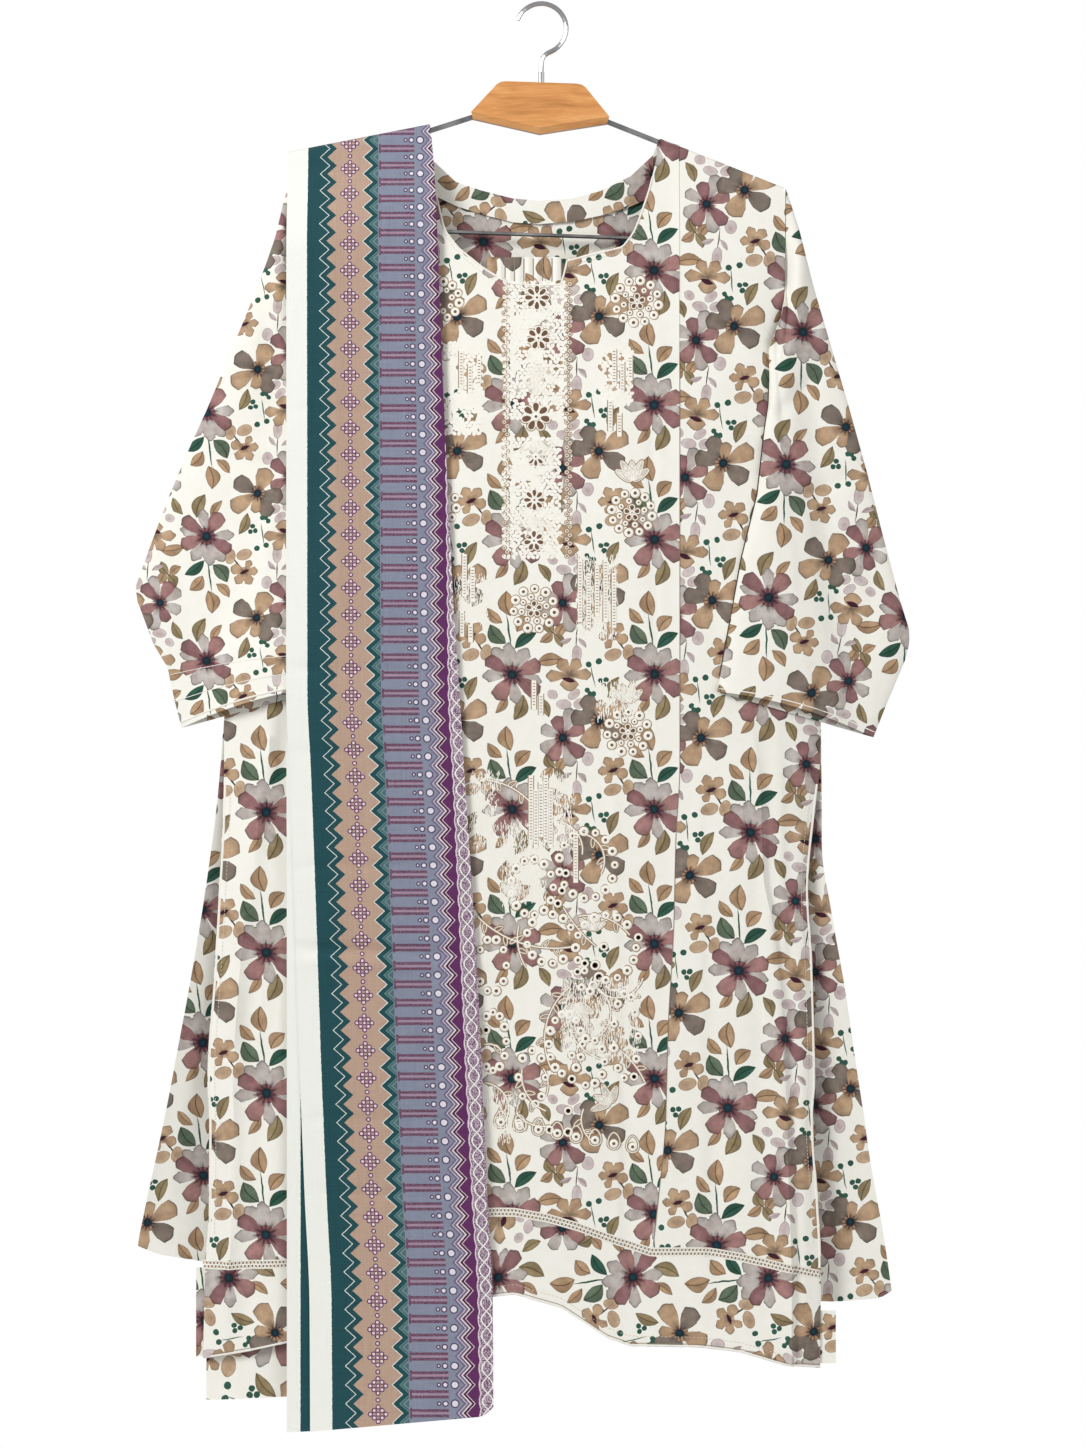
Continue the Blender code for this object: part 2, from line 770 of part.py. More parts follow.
def front_strip(name, top_line, top_shift, bottom_line, bottom_shift, rows, made_of):
    """A strip across the whole front, between two lines that follow its hem."""
    across = [(place_x, front_depth) for place_x, part in reversed(side_places(-1))]
    across += [(place_x, front_depth) for top, place_x in centre_places()[1:-1]]
    across += [(place_x, pleated_depth(1, part)) for place_x, part in side_places(1)]
    columns = []
    for place_x, depth in across:
        top = where_meets(top_line, place_x)[1] + top_shift
        bottom = where_meets(bottom_line, place_x)[1] + bottom_shift
        column = []
        for k in range(rows + 1):
            drop = blend(top, bottom, k / rows)
            x = place_x(drop)
            column.append((x, -depth(x, drop), -drop, -1.0, 0.0))
        columns.append(column)
    add_sheet(name, turned(columns), CLOTH, made_of)


def turnback(name, row, made_of):
    """The border's end, turned back behind it and showing past its edge."""
    inside, outside = TURNBACKS["inside"][row], TURNBACKS["outside"][row]
    top, bottom = TURNBACKS["top"][row], TURNBACKS["bottom"][row]
    columns = []
    for part in (0.0, 0.5, 1.0):
        x = blend(inside, outside, part)
        column = []
        for k in range(3):
            drop = blend(top, bottom, k / 2.0)
            edge_x = min(max(x, read(FRONT_SIDES, "left", "drop", drop)),
                         read(FRONT_SIDES, "right", "drop", drop))
            y = TURNBACKS["behind"][row] - front_depth(edge_x, drop)
            column.append((x, y, -drop, -1.0, 0.0))
        columns.append(column)
    add_sheet(name, turned(columns), CLOTH, made_of)


def neck_tucks(made_of):
    """The gathered insert that fills the front neckline's notch."""
    steps = TUCKS * 4
    columns = []
    for i in range(steps + 1):
        x = blend(TUCKS_LEFT, TUCKS_RIGHT, i / steps)
        bottom = straight(FRONT_NECKLINE, "drop", "x", x) - GAP
        raised = TUCK_HEIGHT * (1.0 - math.cos(math.tau * i / 4.0)) / 2.0
        column = []
        for part in (0.0, 0.5, 1.0):
            drop = blend(TUCKS_TOP, bottom, part)
            column.append((x, -(front_depth(x, drop) + raised), -drop, -1.0, 0.0))
        columns.append(column)
    add_sheet("kameez_neck_tucks", turned(columns), CLOTH, made_of)


def kameez_back(made_of):
    """The back, flared below the slits."""
    left, right = BACK_SIDES["left"][0], BACK_SIDES["right"][0]
    tops = (left, left + 5.0, left + 18.0, -172.0, -138.0, *NECK_POINTS,
            *BACK_NECKLINE["x"], 138.0, 170.0, right - 18.0, right - 5.0, right)
    columns = []
    for top in sorted(tops):
        across = (top - left) / (right - left)

        def place_x(drop, across=across):
            return blend(read(BACK_SIDES, "left", "drop", drop),
                         read(BACK_SIDES, "right", "drop", drop), across)

        columns.append(body_column(top, BACK_NECKLINE, place_x, BACK_HEM, back_depth, 1))
    add_sheet("kameez_back", turned(columns), CLOTH, made_of)


def neck_facing(made_of):
    """The facing inside the back neckline."""
    columns = []
    rows = list(zip(*(BACK_NECKLINE[name] for name in ("x", "drop", "facing"))))
    for x, top, bottom in rows[1:-1]:
        column = []
        for part in (0.0, 0.5, 1.0):
            drop = blend(top, bottom, part)
            column.append((x, back_depth(x, drop) - FACING_STEP, -drop, 1.0, 0.0))
        columns.append(column)
    add_sheet("kameez_neck_facing", turned(columns), CLOTH, made_of)


SLEEVE_RINGS = (0.0, 0.04, 0.08, 0.13, 0.2, 0.29, 0.39, 0.5, 0.61, 0.72, 0.81, 0.88, 0.94, 1.0)
SLEEVE_STATIONS = (0.0, 0.03, 0.11, 0.27, 0.45, 0.62, 0.74, 0.84, 0.92, 0.975, 1.0)
ARMHOLE_RELEASE = 0.18    # part of the sleeve in which the armhole's curve fades out
ARMHOLE_CURL = 7.0        # how far the curve turns in under the arm
ARMHOLE_CURL_FROM = 0.74


def armhole_bulge(side, outer, inner, across):
    """How far the armhole's curve stands out from its chord, across the garment."""
    x, drop = blend(outer[0], inner[0], across), blend(outer[1], inner[1], across)
    edge_x = read(FRONT_SIDES, "left" if side < 0 else "right", "drop", drop)
    curl = max(0.0, across - ARMHOLE_CURL_FROM) / (1.0 - ARMHOLE_CURL_FROM)
    return edge_x + side * (2.0 * GAP - ARMHOLE_CURL * curl ** 1.5) - x


def sleeve(name, side, outer_fold, inner_fold, made_of):
    """A three-quarter sleeve: a flattened tube that swings in front of the body."""
    body_edge = "left" if side < 0 else "right"
    rings = []
    for along in SLEEVE_RINGS:
        outer, inner = along_path(outer_fold, along), along_path(inner_fold, along)
        first, last = along_path(outer_fold, 0.0), along_path(inner_fold, 0.0)
        released = smoothstep(along / ARMHOLE_RELEASE)
        ring = []
        for across in SLEEVE_STATIONS:
            x, drop = blend(outer[0], inner[0], across), blend(outer[1], inner[1], across)
            x += armhole_bulge(side, first, last, across) * (1.0 - released)
            edge_x = read(FRONT_SIDES, body_edge, "drop", drop)
            beyond = side * (x - edge_x)
            in_front = blend(smoothstep((across - 0.55) / 0.25),
                             1.0 - smoothstep((beyond - 2.0) / SLEEVE_SWING), released)
            if in_front < 0.99:
                x = edge_x + side * max(2.0 * GAP, beyond)
            half_depth = max(1.0, read(SLEEVE_DEPTH, "half_depth", "along", along) * lens(across))
            back_y = blend(half_depth, -(front_depth(x, drop) + SLEEVE_CLEARANCE), in_front)
            lift = SLEEVE_HEM_LIFT * 4.0 * across * (1.0 - across) * smoothstep(4.0 * along - 3.0)
            ring.append((x, -drop + lift, -drop, back_y - 2.0 * half_depth, back_y))
        rings.append(ring)
    add_flat_tube(name, rings, CLOTH, made_of)


# ---------------------------------------------------------------- dupatta

DUPATTA_COLUMNS = (0.0, 0.12, 0.3, 0.5, 0.7, 0.88, 1.0)
DUPATTA_ROWS = (0.02, 0.045, 0.075, 0.11, 0.15, 0.2, 0.26, 0.33, 0.41, 0.49, 0.57,
                0.65, 0.73, 0.81, 0.89, 0.96, 1.0)
ARCH_STEPS = (0.0, 1.0 / 3.0, 2.0 / 3.0, 1.0)


def dupatta_crest(x):
    part = (x - DUPATTA["left"][0]) / (DUPATTA["right"][0] - DUPATTA["left"][0])
    return blend(DUPATTA_CREST_LEFT, DUPATTA_CREST_RIGHT, part)


def dupatta_depth(rows, across, x, drop):
    """Distance of the dupatta's middle surface from the hanger's plane."""
    full = blend(read(rows, "depth_left", "drop", drop), read(rows, "depth_right", "drop", drop),
                 across)
    below = (drop - dupatta_crest(x) - DUPATTA_ARCH) / DUPATTA_ROUNDING
    return blend(DUPATTA_ARCH, full, smoothstep(below))


def dupatta_stretch(name, rows, hem, side, made_of):
    """The folded strip from the crest over the shoulder down to its hem."""
    first = math.asin(GAP / 2.0 / (DUPATTA_ARCH - FOLDED_CLOTH / 2.0))
    columns = []
    for across in DUPATTA_COLUMNS:
        x_top = blend(rows["left"][0], rows["right"][0], across)
        crest = dupatta_crest(x_top)
        column = []
        for step in ARCH_STEPS:
            turn = blend(first, math.pi / 2.0, step)
            column.append((x_top, side * DUPATTA_ARCH * math.sin(turn),
                           -(crest + FOLDED_CLOTH / 2.0 + DUPATTA_ARCH * (1.0 - math.cos(turn))),
                           side * math.sin(turn), math.cos(turn)))
        start = crest + FOLDED_CLOTH / 2.0 + DUPATTA_ARCH
        end = hem["drop"][-1]
        hem_x = blend(read(rows, "left", "drop", end), read(rows, "right", "drop", end), across)
        bottom = straight(hem, "drop", "x", hem_x)
        if side < 0 and across == 1.0:
            bottom -= DUPATTA_CORNER
        for part in DUPATTA_ROWS:
            drop = blend(start, bottom, part)
            x = blend(read(rows, "left", "drop", drop), read(rows, "right", "drop", drop), across)
            column.append((x, side * dupatta_depth(rows, across, x, drop), -drop, side, 0.0))
        columns.append(column)
    add_sheet(name, turned(columns), FOLDED_CLOTH, made_of)


def dupatta_under(made_of):
    """The layer that shows past the top layer's left edge."""
    columns = []
    for part_across in (0.0, 0.12, 0.3, 0.65, 1.0):
        x = blend(UNDER_LEFT, UNDER_RIGHT, part_across)
        bottom = straight(DUPATTA_HEM, "drop", "x", x)
        column = []
        for k in range(13):
            drop = blend(UNDER_TOP, bottom, k / 12.0)
            left = read(DUPATTA, "left", "drop", drop)
            right = read(DUPATTA, "right", "drop", drop)
            across = max(0.0, (x - left) / (right - left))
            depth = dupatta_depth(DUPATTA, across, x, drop) - DUPATTA_LAYER
            column.append((x, -depth, -drop, -1.0, 0.0))
        columns.append(column)
    add_sheet("dupatta_front_under", turned(columns), FOLDED_CLOTH, made_of)


# ---------------------------------------------------------------- trousers

LEG_STATIONS = (0.0, 0.03, 0.12, 0.32, 0.68, 0.88, 0.97, 1.0)


def trouser_leg(name, side, made_of):
    """One flattened leg, in front of (-1) or behind (1) the plane between the legs."""
    rings = []
    for k in range(len(LEGS["drop"])):
        level = LEGS["drop"][k]
        left, right = LEGS["left"][k], LEGS["right"][k]
        half_depth, between = LEGS["half_depth"][k], LEGS["between"][k]
        ring = []
        for across in LEG_STATIONS:
            x = blend(left, right, across)
            drop = level
            if level == LEGS["drop"][-1]:
                drop = straight(LEG_HEM, "drop", "x", x)
            if level == LEGS["drop"][0]:
                drop = bar_drop(x) + BAND_FRONT + GAP
            near = between + side * (GAP / 2.0 + TROUSER_CLOTH / 2.0)
            far = near + side * 2.0 * max(0.75, half_depth * lens(across))
            ring.append((x, -drop, -drop, min(near, far), max(near, far)))
        rings.append(ring)
    add_flat_tube(name, rings, TROUSER_CLOTH, made_of)


def waistband(made_of):
    """The waistband, folded over the cross bar."""
    middle = BAR_RADIUS + GAP + BAND_THICKNESS / 2.0
    profile = [(-middle, -BAND_FRONT, -1.0, 0.0)]
    for k in range(7):
        turn = math.pi * k / 6.0
        profile.append((-middle * math.cos(turn), middle * math.sin(turn),
                        -math.cos(turn), math.sin(turn)))
    profile.append((middle, -BAND_BACK, 1.0, 0.0))
    columns = []
    for part in (0.0, 0.5, 1.0):
        x = blend(BAND_LEFT, BAND_RIGHT, part)
        columns.append([(x, y, -bar_drop(x) + z, oy, oz) for y, z, oy, oz in profile])
    add_sheet("trousers_waistband", turned(columns), BAND_THICKNESS, made_of)


# ---------------------------------------------------------------- hanger pieces

HOOK_TIP_TURN, HOOK_LAST_TURN = math.radians(160.0), math.radians(-68.0)
HOOK_STEPS = 22
STEM_TOP, STEM_BOTTOM = 54.0, 59.4
FERRULE_RADIUS = 2.7


def hook(made_of):
    """The wire hook: a round loop, then a short bend into the stem."""
    centre_x, centre_z = PIVOT_X, WIRE_RADIUS - HOOK_RADIUS
    path = []
    for k in range(HOOK_STEPS + 1):
        turn = blend(HOOK_TIP_TURN, HOOK_LAST_TURN, k / HOOK_STEPS)
        path.append((centre_x + HOOK_RADIUS * math.cos(turn),
                     centre_z + HOOK_RADIUS * math.sin(turn)))
    last = path[-1]
    heading = (math.sin(HOOK_LAST_TURN), -math.cos(HOOK_LAST_TURN))
    handles = (last, (last[0] + heading[0] * 6.0, last[1] + heading[1] * 6.0),
               (PIVOT_X, -STEM_TOP + 7.0), (PIVOT_X, -STEM_TOP))
    for k in range(1, 6):
        t = k / 5.0
        weights = ((1 - t) ** 3, 3 * t * (1 - t) ** 2, 3 * t * t * (1 - t), t ** 3)
        path.append(tuple(sum(w * h[i] for w, h in zip(weights, handles)) for i in (0, 1)))
    path.append((PIVOT_X, -STEM_BOTTOM))
    add_tube("hanger_hook", path, WIRE_RADIUS, made_of, sides=10)


def ferrule(made_of):
    """The sleeve in which the hook's stem stands on the block."""
    top, bottom = -(STEM_BOTTOM + GAP), -(PIVOT_DROP - GAP)
    add_tube("hanger_ferrule", [(PIVOT_X, top), (PIVOT_X, bottom)], FERRULE_RADIUS, made_of,
             sides=12)


def block(made_of):
    """The wooden block: lower edges chamfered, a socket for each arm."""
    points = []
    layers = ((-BLOCK_HALF_DEPTH, BLOCK_FACE), (-BLOCK_CHAMFER, BLOCK_MIDDLE),
              (BLOCK_CHAMFER, BLOCK_MIDDLE), (BLOCK_HALF_DEPTH, BLOCK_FACE))
    for y, outline in layers:
        for x, drop in zip(outline["x"], outline["drop"]):
            world_x, world_z = hanger_point(x, drop)
            points.append((world_x, y, world_z))
    corners = len(BLOCK_FACE["x"])
    faces = grid_faces(len(layers), corners, True, 0, False)
    faces.append(list(range(corners)))
    faces.append([(len(layers) - 1) * corners + k for k in range(corners)])
    made = add_solid("hanger_block", points, faces, made_of)
    for side in (-1, 1):
        path = [hanger_point(side * x, ARM_START_DROP + ARM_SLOPE * (x - ARM_START_X))
                for x in (ARM_SOCKET_X - GAP, ARM_START_X + 20.0)]
        socket = add_tube("socket_cutter", path, ARM_RADIUS + GAP, made_of, sides=8)
        cut(made, socket)


def arm(name, side, made_of):
    """A chromed arm: straight down the shoulder, then bent back to the bar."""
    radius, bend_x, bend_drop = arm_bend()
    first = math.pi / 2.0 - math.atan(ARM_SLOPE)
    path = [hanger_point(side * x, ARM_START_DROP + ARM_SLOPE * (x - ARM_START_X))
            for x in (ARM_SOCKET_X, blend(ARM_SOCKET_X, bend_x, 0.5))]
    for k in range(13):
        turn = blend(first, -math.pi / 2.0, k / 12.0)
        path.append(hanger_point(side * (bend_x + radius * math.cos(turn)),
                                 bend_drop - radius * math.sin(turn)))
    add_tube(name, path, ARM_RADIUS, made_of)


def bar(made_of):
    bend_x = arm_bend()[1]
    path = [hanger_point(x, BAR_DROP) for x in (-bend_x + GAP, 0.0, bend_x - GAP)]
    add_tube("hanger_bar", path, BAR_RADIUS, made_of)


# ---------------------------------------------------------------- the whole set

def main():
    for old in list(bpy.data.objects):
        bpy.data.objects.remove(old, do_unlink=True)

    printed = (0.88, 0.84, 0.77)
    hook(material("hook_steel", (0.62, 0.63, 0.65), 0.25, 1.0))
    ferrule(material("ferrule_steel", (0.66, 0.66, 0.67), 0.3, 1.0))
    block(material("block_wood", (0.72, 0.42, 0.18), 0.45))
    arm("hanger_arm_left", -1, material("arm_left_chrome", (0.8, 0.8, 0.81), 0.08, 1.0))
    arm("hanger_arm_right", 1, material("arm_right_chrome", (0.8, 0.8, 0.81), 0.08, 1.0))
    bar(material("bar_chrome", (0.8, 0.8, 0.81), 0.08, 1.0))

    front_centre(material("front_centre_print", printed, 0.9))
    front_side("kameez_front_side_left", -1, material("front_left_print", printed, 0.9))
    front_side("kameez_front_side_right", 1, material("front_right_print", printed, 0.9))
    front_strip("kameez_front_lace", LACE_LINE, GAP, LACE_LINE, LACE_HEIGHT - GAP, 1,
                material("lace_cotton", (0.93, 0.91, 0.85), 0.9))
    front_strip("kameez_front_border", LACE_LINE, LACE_HEIGHT, BORDER_HEM, 0.0, 3,
                material("border_print", (0.84, 0.78, 0.69), 0.9))
    turnback("kameez_front_turnback_left", 0, material("turnback_left_print", printed, 0.9))
    turnback("kameez_front_turnback_right", 1, material("turnback_right_print", printed, 0.9))
    neck_tucks(material("tucks_print", (0.86, 0.83, 0.76), 0.9))
    kameez_back(material("back_print", printed, 0.9))
    neck_facing(material("facing_print", (0.86, 0.82, 0.75), 0.9))
    sleeve("sleeve_left", -1, SLEEVE_LEFT_OUTER, SLEEVE_LEFT_INNER,
           material("sleeve_left_print", printed, 0.9))
    sleeve("sleeve_right", 1, SLEEVE_RIGHT_OUTER, SLEEVE_RIGHT_INNER,
           material("sleeve_right_print", printed, 0.9))

    dupatta_stretch("dupatta_front", DUPATTA, DUPATTA_HEM, -1,
                    material("dupatta_front_bands", (0.62, 0.58, 0.62), 0.8))
    dupatta_under(material("dupatta_under_white", (0.9, 0.93, 0.88), 0.8))
    dupatta_stretch("dupatta_back", DUPATTA_BACK, DUPATTA_BACK_HEM, 1,
                    material("dupatta_back_bands", (0.62, 0.58, 0.62), 0.8))

    waistband(material("waistband_print", printed, 0.9))
    trouser_leg("trousers_leg_front", -1, material("leg_front_print", printed, 0.9))
    trouser_leg("trousers_leg_back", 1, material("leg_back_print", printed, 0.9))


main()
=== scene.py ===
"""The dress of a salwar kameez suit that hangs on its clothes hanger.

Each cloth is a thin shell made from the same tables and functions as its solid.
Millimetres in the tables and functions, metres in the meshes. x runs across the suit,
drop runs down it from the hanger's hook.
"""

import math
import random

import bmesh
import bpy
import numpy as np
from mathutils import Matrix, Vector
from mathutils.bvhtree import BVHTree


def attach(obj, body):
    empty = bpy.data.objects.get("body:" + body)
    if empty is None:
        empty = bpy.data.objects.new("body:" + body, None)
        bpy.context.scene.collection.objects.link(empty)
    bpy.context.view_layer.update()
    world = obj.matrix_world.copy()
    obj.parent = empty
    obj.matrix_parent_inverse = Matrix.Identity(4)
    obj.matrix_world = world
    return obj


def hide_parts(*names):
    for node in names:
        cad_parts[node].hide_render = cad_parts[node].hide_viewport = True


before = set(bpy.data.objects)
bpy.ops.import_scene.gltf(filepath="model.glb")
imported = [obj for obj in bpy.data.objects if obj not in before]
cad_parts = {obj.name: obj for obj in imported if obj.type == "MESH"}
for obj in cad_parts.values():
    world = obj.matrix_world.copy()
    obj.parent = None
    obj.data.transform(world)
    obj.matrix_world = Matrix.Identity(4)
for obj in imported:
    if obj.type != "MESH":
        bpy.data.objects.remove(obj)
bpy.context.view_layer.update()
MM = 0.001

# ---------------------------------------------------------------- driving sizes

GAP = 0.3                 # seams and rests
CLOTH = 1.3               # wall of the kameez and the sleeves
FOLDED_CLOTH = 1.5        # wall of the dupatta, a stack of folded layers
TROUSER_CLOTH = 1.15      # wall of the trousers
SHELL = 0.6               # thickness of a cloth as dressed
ARM_RADIUS = 2.4          # chromed arms
BAR_RADIUS = 1.8          # cross bar
TILT = math.radians(2.0)  # the hanger hangs a little lower on the right
PIVOT_X, PIVOT_DROP = 0.3, 70.2      # middle of the hanger block's top edge
ARM_START_X, ARM_START_DROP = 61.8, 32.4
ARM_SLOPE = 0.3576
BAR_DROP = 135.9
SHOULDER_ROUNDING = 85.0  # drop below the arms in which the body gets its depth
SEAM_TOP_X = 123.3        # front seams at the chest, each side of the middle
JOINED_TOP, JOINED_END = 300.0, 700.0      # front and back are joined at the sides between
PRESSED, PRESSED_WIDE, PRESSED_EASE = 0.4, 10.0, 12.0      # how the joined edges lie in

# How finely the cloths are divided: rows down them, and steps or millimetres across.
CENTRE_ROWS, SIDE_ROWS, BORDER_ROWS, BACK_ROWS = 230, 220, 24, 190
CENTRE_PITCH, BACK_PITCH, BORDER_ACROSS = 4.0, 5.0, 52
SEAM_TO_PLEAT, PLEAT_TO_EDGE = 19, 13
NECK_ROWS, NECK_STRIP = 4, 5.0             # rows in the first millimetres below a neckline
ROW_GROWTH = 1.08                          # rows lie closer at the top
ARM_BEND, DUPATTA_BEND = 4, 6              # steps of the bends over arm and shoulder
DUPATTA_ROWS, DUPATTA_ACROSS, UNDER_ROWS, UNDER_ACROSS = 250, 40, 120, 26
FACING_ROWS, TURNBACK_ROWS, TURNBACK_ACROSS = 8, 16, 6
TUCK_ROWS, TUCK_STEPS = 8, 10              # steps down the tucks, and across each
SLEEVE_RINGS, SLEEVE_SIDE = 110, 38        # steps down a sleeve, and over its front
LEG_RINGS, LEG_SIDE = 90, 24               # steps down a leg, and over its front
BAND_ACROSS, BAND_STEPS = 22, (8, 12, 10)  # waistband: across, then front, bend and back


def table(columns, text):
    """Columns by name, from rows parted by commas. The first column is the key."""
    rows = [[float(word) if word[-1].isdigit() else word for word in row.split()]
            for row in text.split(",")]
    return dict(zip(columns.split(), zip(*rows)))


# Side edges. Front and back share them down to the top of the side slits.
SIDES = """140 -221 218, 171 -222 219.5, 256 -220.5 218.5, 311 -214 211, 380 -216 216,
    450 -226 225, 535 -246 236, 600 -272 246.5, 642 -284.9 251.5, """
FRONT_SIDES = table("drop left right", SIDES + """680 -285 250.8, 726 -286 246, 795 -289.5 240,
    860 -293 243.6, 967 -299.5 246, 997 -298 244, 1080 -298 249, 1124 -300.6 251,
    1223 -303.3 250.2""")
BACK_SIDES = table("drop left right", SIDES + """680 -288 252.2, 726 -292.5 252.6, 760 -297 253.1,
    811 -304.5 261, 887 -317.5 274, 937 -327 281.3, 997 -338.5 290.7, 1047 -349.3 297.9,
    1088 -358.2 305.5, 1117 -363.6 310.5, 1157 -366 316.4""")

# Half depth of the body: at its middle, and at its side edges.
FRONT_DEPTH = table("drop middle edge", """150 13 3.4, 230 14 5.2, 270 14.5 4.2, 311 15 0.8,
    680 16.5 0.8, 800 17 2.5, 1000 17.5 6, 1225 18.5 10""")
BACK_DEPTH = table("drop middle edge", """150 12 3.4, 230 13 5.2, 270 12.5 4.2, 311 12.5 0.8,
    680 13 0.8, 800 13.5 2.5, 1000 15 6, 1170 16 9""")

# Where the front seams and the right side panel's pleat run.
FRONT_SEAMS = table("drop left right", """140 -123.3 123.3, 680 -123.3 123.3, 750 -120.5 119.7,
    824 -118.5 117.9, 926 -113 112.5, 1003 -110 110.5, 1067 -104 104.4, 1117 -99 99,
    1202 -90 89""")
PLEATS = table("drop left right height", """140 -172 172 0, 600 -188 187.5 0, 650 -191 190.5 0.8,
    710 -197 196.6 4, 782 -201 199 5, 824 -208 207 5, 896 -216 215 5, 1130 -226 224 6""")
PLEAT_RETURN = 4.0        # how soon the pleat falls back beyond its fold
LAP, LAP_WIDE = 0.7, 7.0  # the middle panel's edges lie this far over the side panels
LAP_PAST = 0.6            # and reach this far past the seams

# Necklines, from where they leave the left arm to where they reach the right one.
NECK_LEFT, NECK_RIGHT = -104.4, 108.0
NECK_ROUND = 2.4          # the neckline leaves the arm within this distance
NECK_TOPS = (NECK_LEFT, NECK_LEFT + NECK_ROUND / 2.0, NECK_RIGHT - NECK_ROUND / 2.0, NECK_RIGHT)
FRONT_NECKLINE = table("x drop", """-102 111.6, -99.9 138.6, -94.5 168.3, -86.4 202.5,
    -73.8 218.7, -52.7 235.8, -36.9 245.7, -26 250.5, -0.9 252, 18.9 251.1, 22.5 230.4,
    39.6 225.9, 56 221.8, 72.9 217.8, 82.4 205.7, 87.3 194.4, 96.8 166.5, 103.8 138.6,
    105.6 121""")
BACK_NECKLINE = table("x drop facing", """-102 111.6 160, -97.2 138.6 169, -76.8 157.2 178.5,
    -54.3 164.5 185.8, -25.3 171.7 193.2, -2.7 173.7 194.8, 27.7 171.9 192.6, 53.5 165.2 187.2,
    80.7 152.5 179, 101 134 170.5, 105.6 121 160""")
FACING_STEP = 2.8         # in front of the back, middles of the walls
FACING_LEFT, FACING_RIGHT = -97.2, 101.0

# Lower edges of the front's panels, of its border and of the back.
LACE_LINE = table("x drop", """-303.3 1126.8, -225.9 1125, -144.9 1107, -90.9 1088.1,
    -45.9 1078.7, -23.4 1078.7, 5.4 1083.6, 34.2 1091.7, 63 1102.5, 98.1 1114.2, 147.6 1113.8,
    179.1 1118.7, 213.3 1126.8, 251.1 1135.8""")
LACE_HEIGHT = 8.0
BORDER_HEM = table("x drop", """-303.3 1215, -262.8 1207.8, -225.9 1199.7, -144.9 1180.8,
    -90.9 1164.6, -42.3 1158.3, -23.4 1156.1, -2.7 1162.4, 18 1168.2, 40.5 1182.6, 59.4 1195.2,
    80.1 1202.4, 141.3 1203.3, 179.1 1207.8, 221.4 1220.4, 250.2 1223.1""")
BACK_HEM = table("x drop", """-363.6 1116.9, -345.6 1125, -302.4 1132.2, -216.9 1139.4, 0 1153.8,
    143.1 1162.8, 264.6 1168.2, 306 1164.6, 316.4 1157.4""")

# Turned-back ends of the border, left and right: how far they reach, from where to
# where, and how far behind the border they lie, middles of the walls.
TURNBACKS = table("inside outside top bottom behind", """-291 -309.6 1134 1213.5 2.6,
    238 264.6 1172.5 1219.5 1.9""")

# The largest eyelets of the embroidery, cut through.
EYELETS = table("x drop diameter", """48.4 861.8 5.8, 51.8 872.3 6.2, 39.1 860 4.5, 46.7 879.6 5,
    32.6 867.5 4.2, 15.1 806.5 4.5, 18.8 794.9 4.3, 22.2 779.4 4.3, 87.1 837 4.7, 56.3 845.1 4.4,
    84.2 904.7 4.4, 27.6 963.3 4.7, 83.3 961.6 4.5, 24.3 991.8 4.8, 24.3 1010.7 5.6, 7.7 1009 4.8,
    -5 985.7 4.3, -19.8 1002.9 4.4, -49.2 919.8 4.6""")

# The gathered insert at the front neckline.
TUCKS, TUCK_HEIGHT = 8, 1.1
TUCKS_LEFT, TUCKS_RIGHT, TUCKS_TOP = -49.0, 18.2, 228.0
TUCKS_FOOT, TUCKS_SUNK = 1.0, 0.8          # past the neckline, and sunk into the seam there

# Sleeves: outer fold and inner fold, from the armhole to the cuff.
SLEEVE_RIGHT_OUTER = table("x drop", """218.2 164.5, 231.3 203.4, 245.7 255.6, 266.4 325.8,
    277.2 362.7, 293.4 421.2, 306 471.6, 322.7 534.6, 330.8 560.7, 331.2 572.4, 327.6 587.7,
    311 627, 298.8 657.9""")
SLEEVE_RIGHT_INNER = table("x drop", """204.8 311, 205.4 335, 204.4 360, 200.7 383.4, 194.4 440,
    180 497.7, 170.1 551.7, 157.9 617.2""")
SLEEVE_LEFT_OUTER = table("x drop", """-221.8 149.5, -230.4 173.7, -238.5 208.8, -246.6 231.3,
    -262.8 272.7, -279.9 314.1, -299.7 361.8, -316.8 399.6, -335.7 444.6, -351.9 487.8,
    -364.5 522.9, -362.7 535.5, -348.3 574.2, -335.7 594.9, -329.4 624.6, -323.1 649.4""")
SLEEVE_LEFT_INNER = table("x drop", """-207.6 311, -208.4 335, -206.8 362, -203 390, -195 450,
    -187 520, -180 611.1""")
SLEEVE_DEPTH = table("along half_depth", """0 3.8, 0.12 4.8, 0.3 5.5, 0.7 5.5, 1 5.4""")
SLEEVE_CLEARANCE = 3.0    # from the body's front to the sleeve's back, middles of the walls
# At the armhole it turns in front of the body over this part of its breadth; further
# down it swings in front of it over this distance beyond the body's edge.
SLEEVE_TURN_FROM, SLEEVE_TURN, SLEEVE_SWING_FROM, SLEEVE_SWING = 0.55, 0.25, 2.0, 32.0
SLEEVE_HEM_LIFT = 6.5     # the front of the cuff rises in a bow
SLEEVE_THIN, SLEEVE_BESIDE = 0.45, 0.35    # least half depth, least room beside the body
SLEEVE_SET = 0.18         # the part of its length in which it leaves the armhole's shape
ARMHOLE_CURL, ARMHOLE_CURL_FROM = 7.0, 0.74      # its lower end curls under the arm

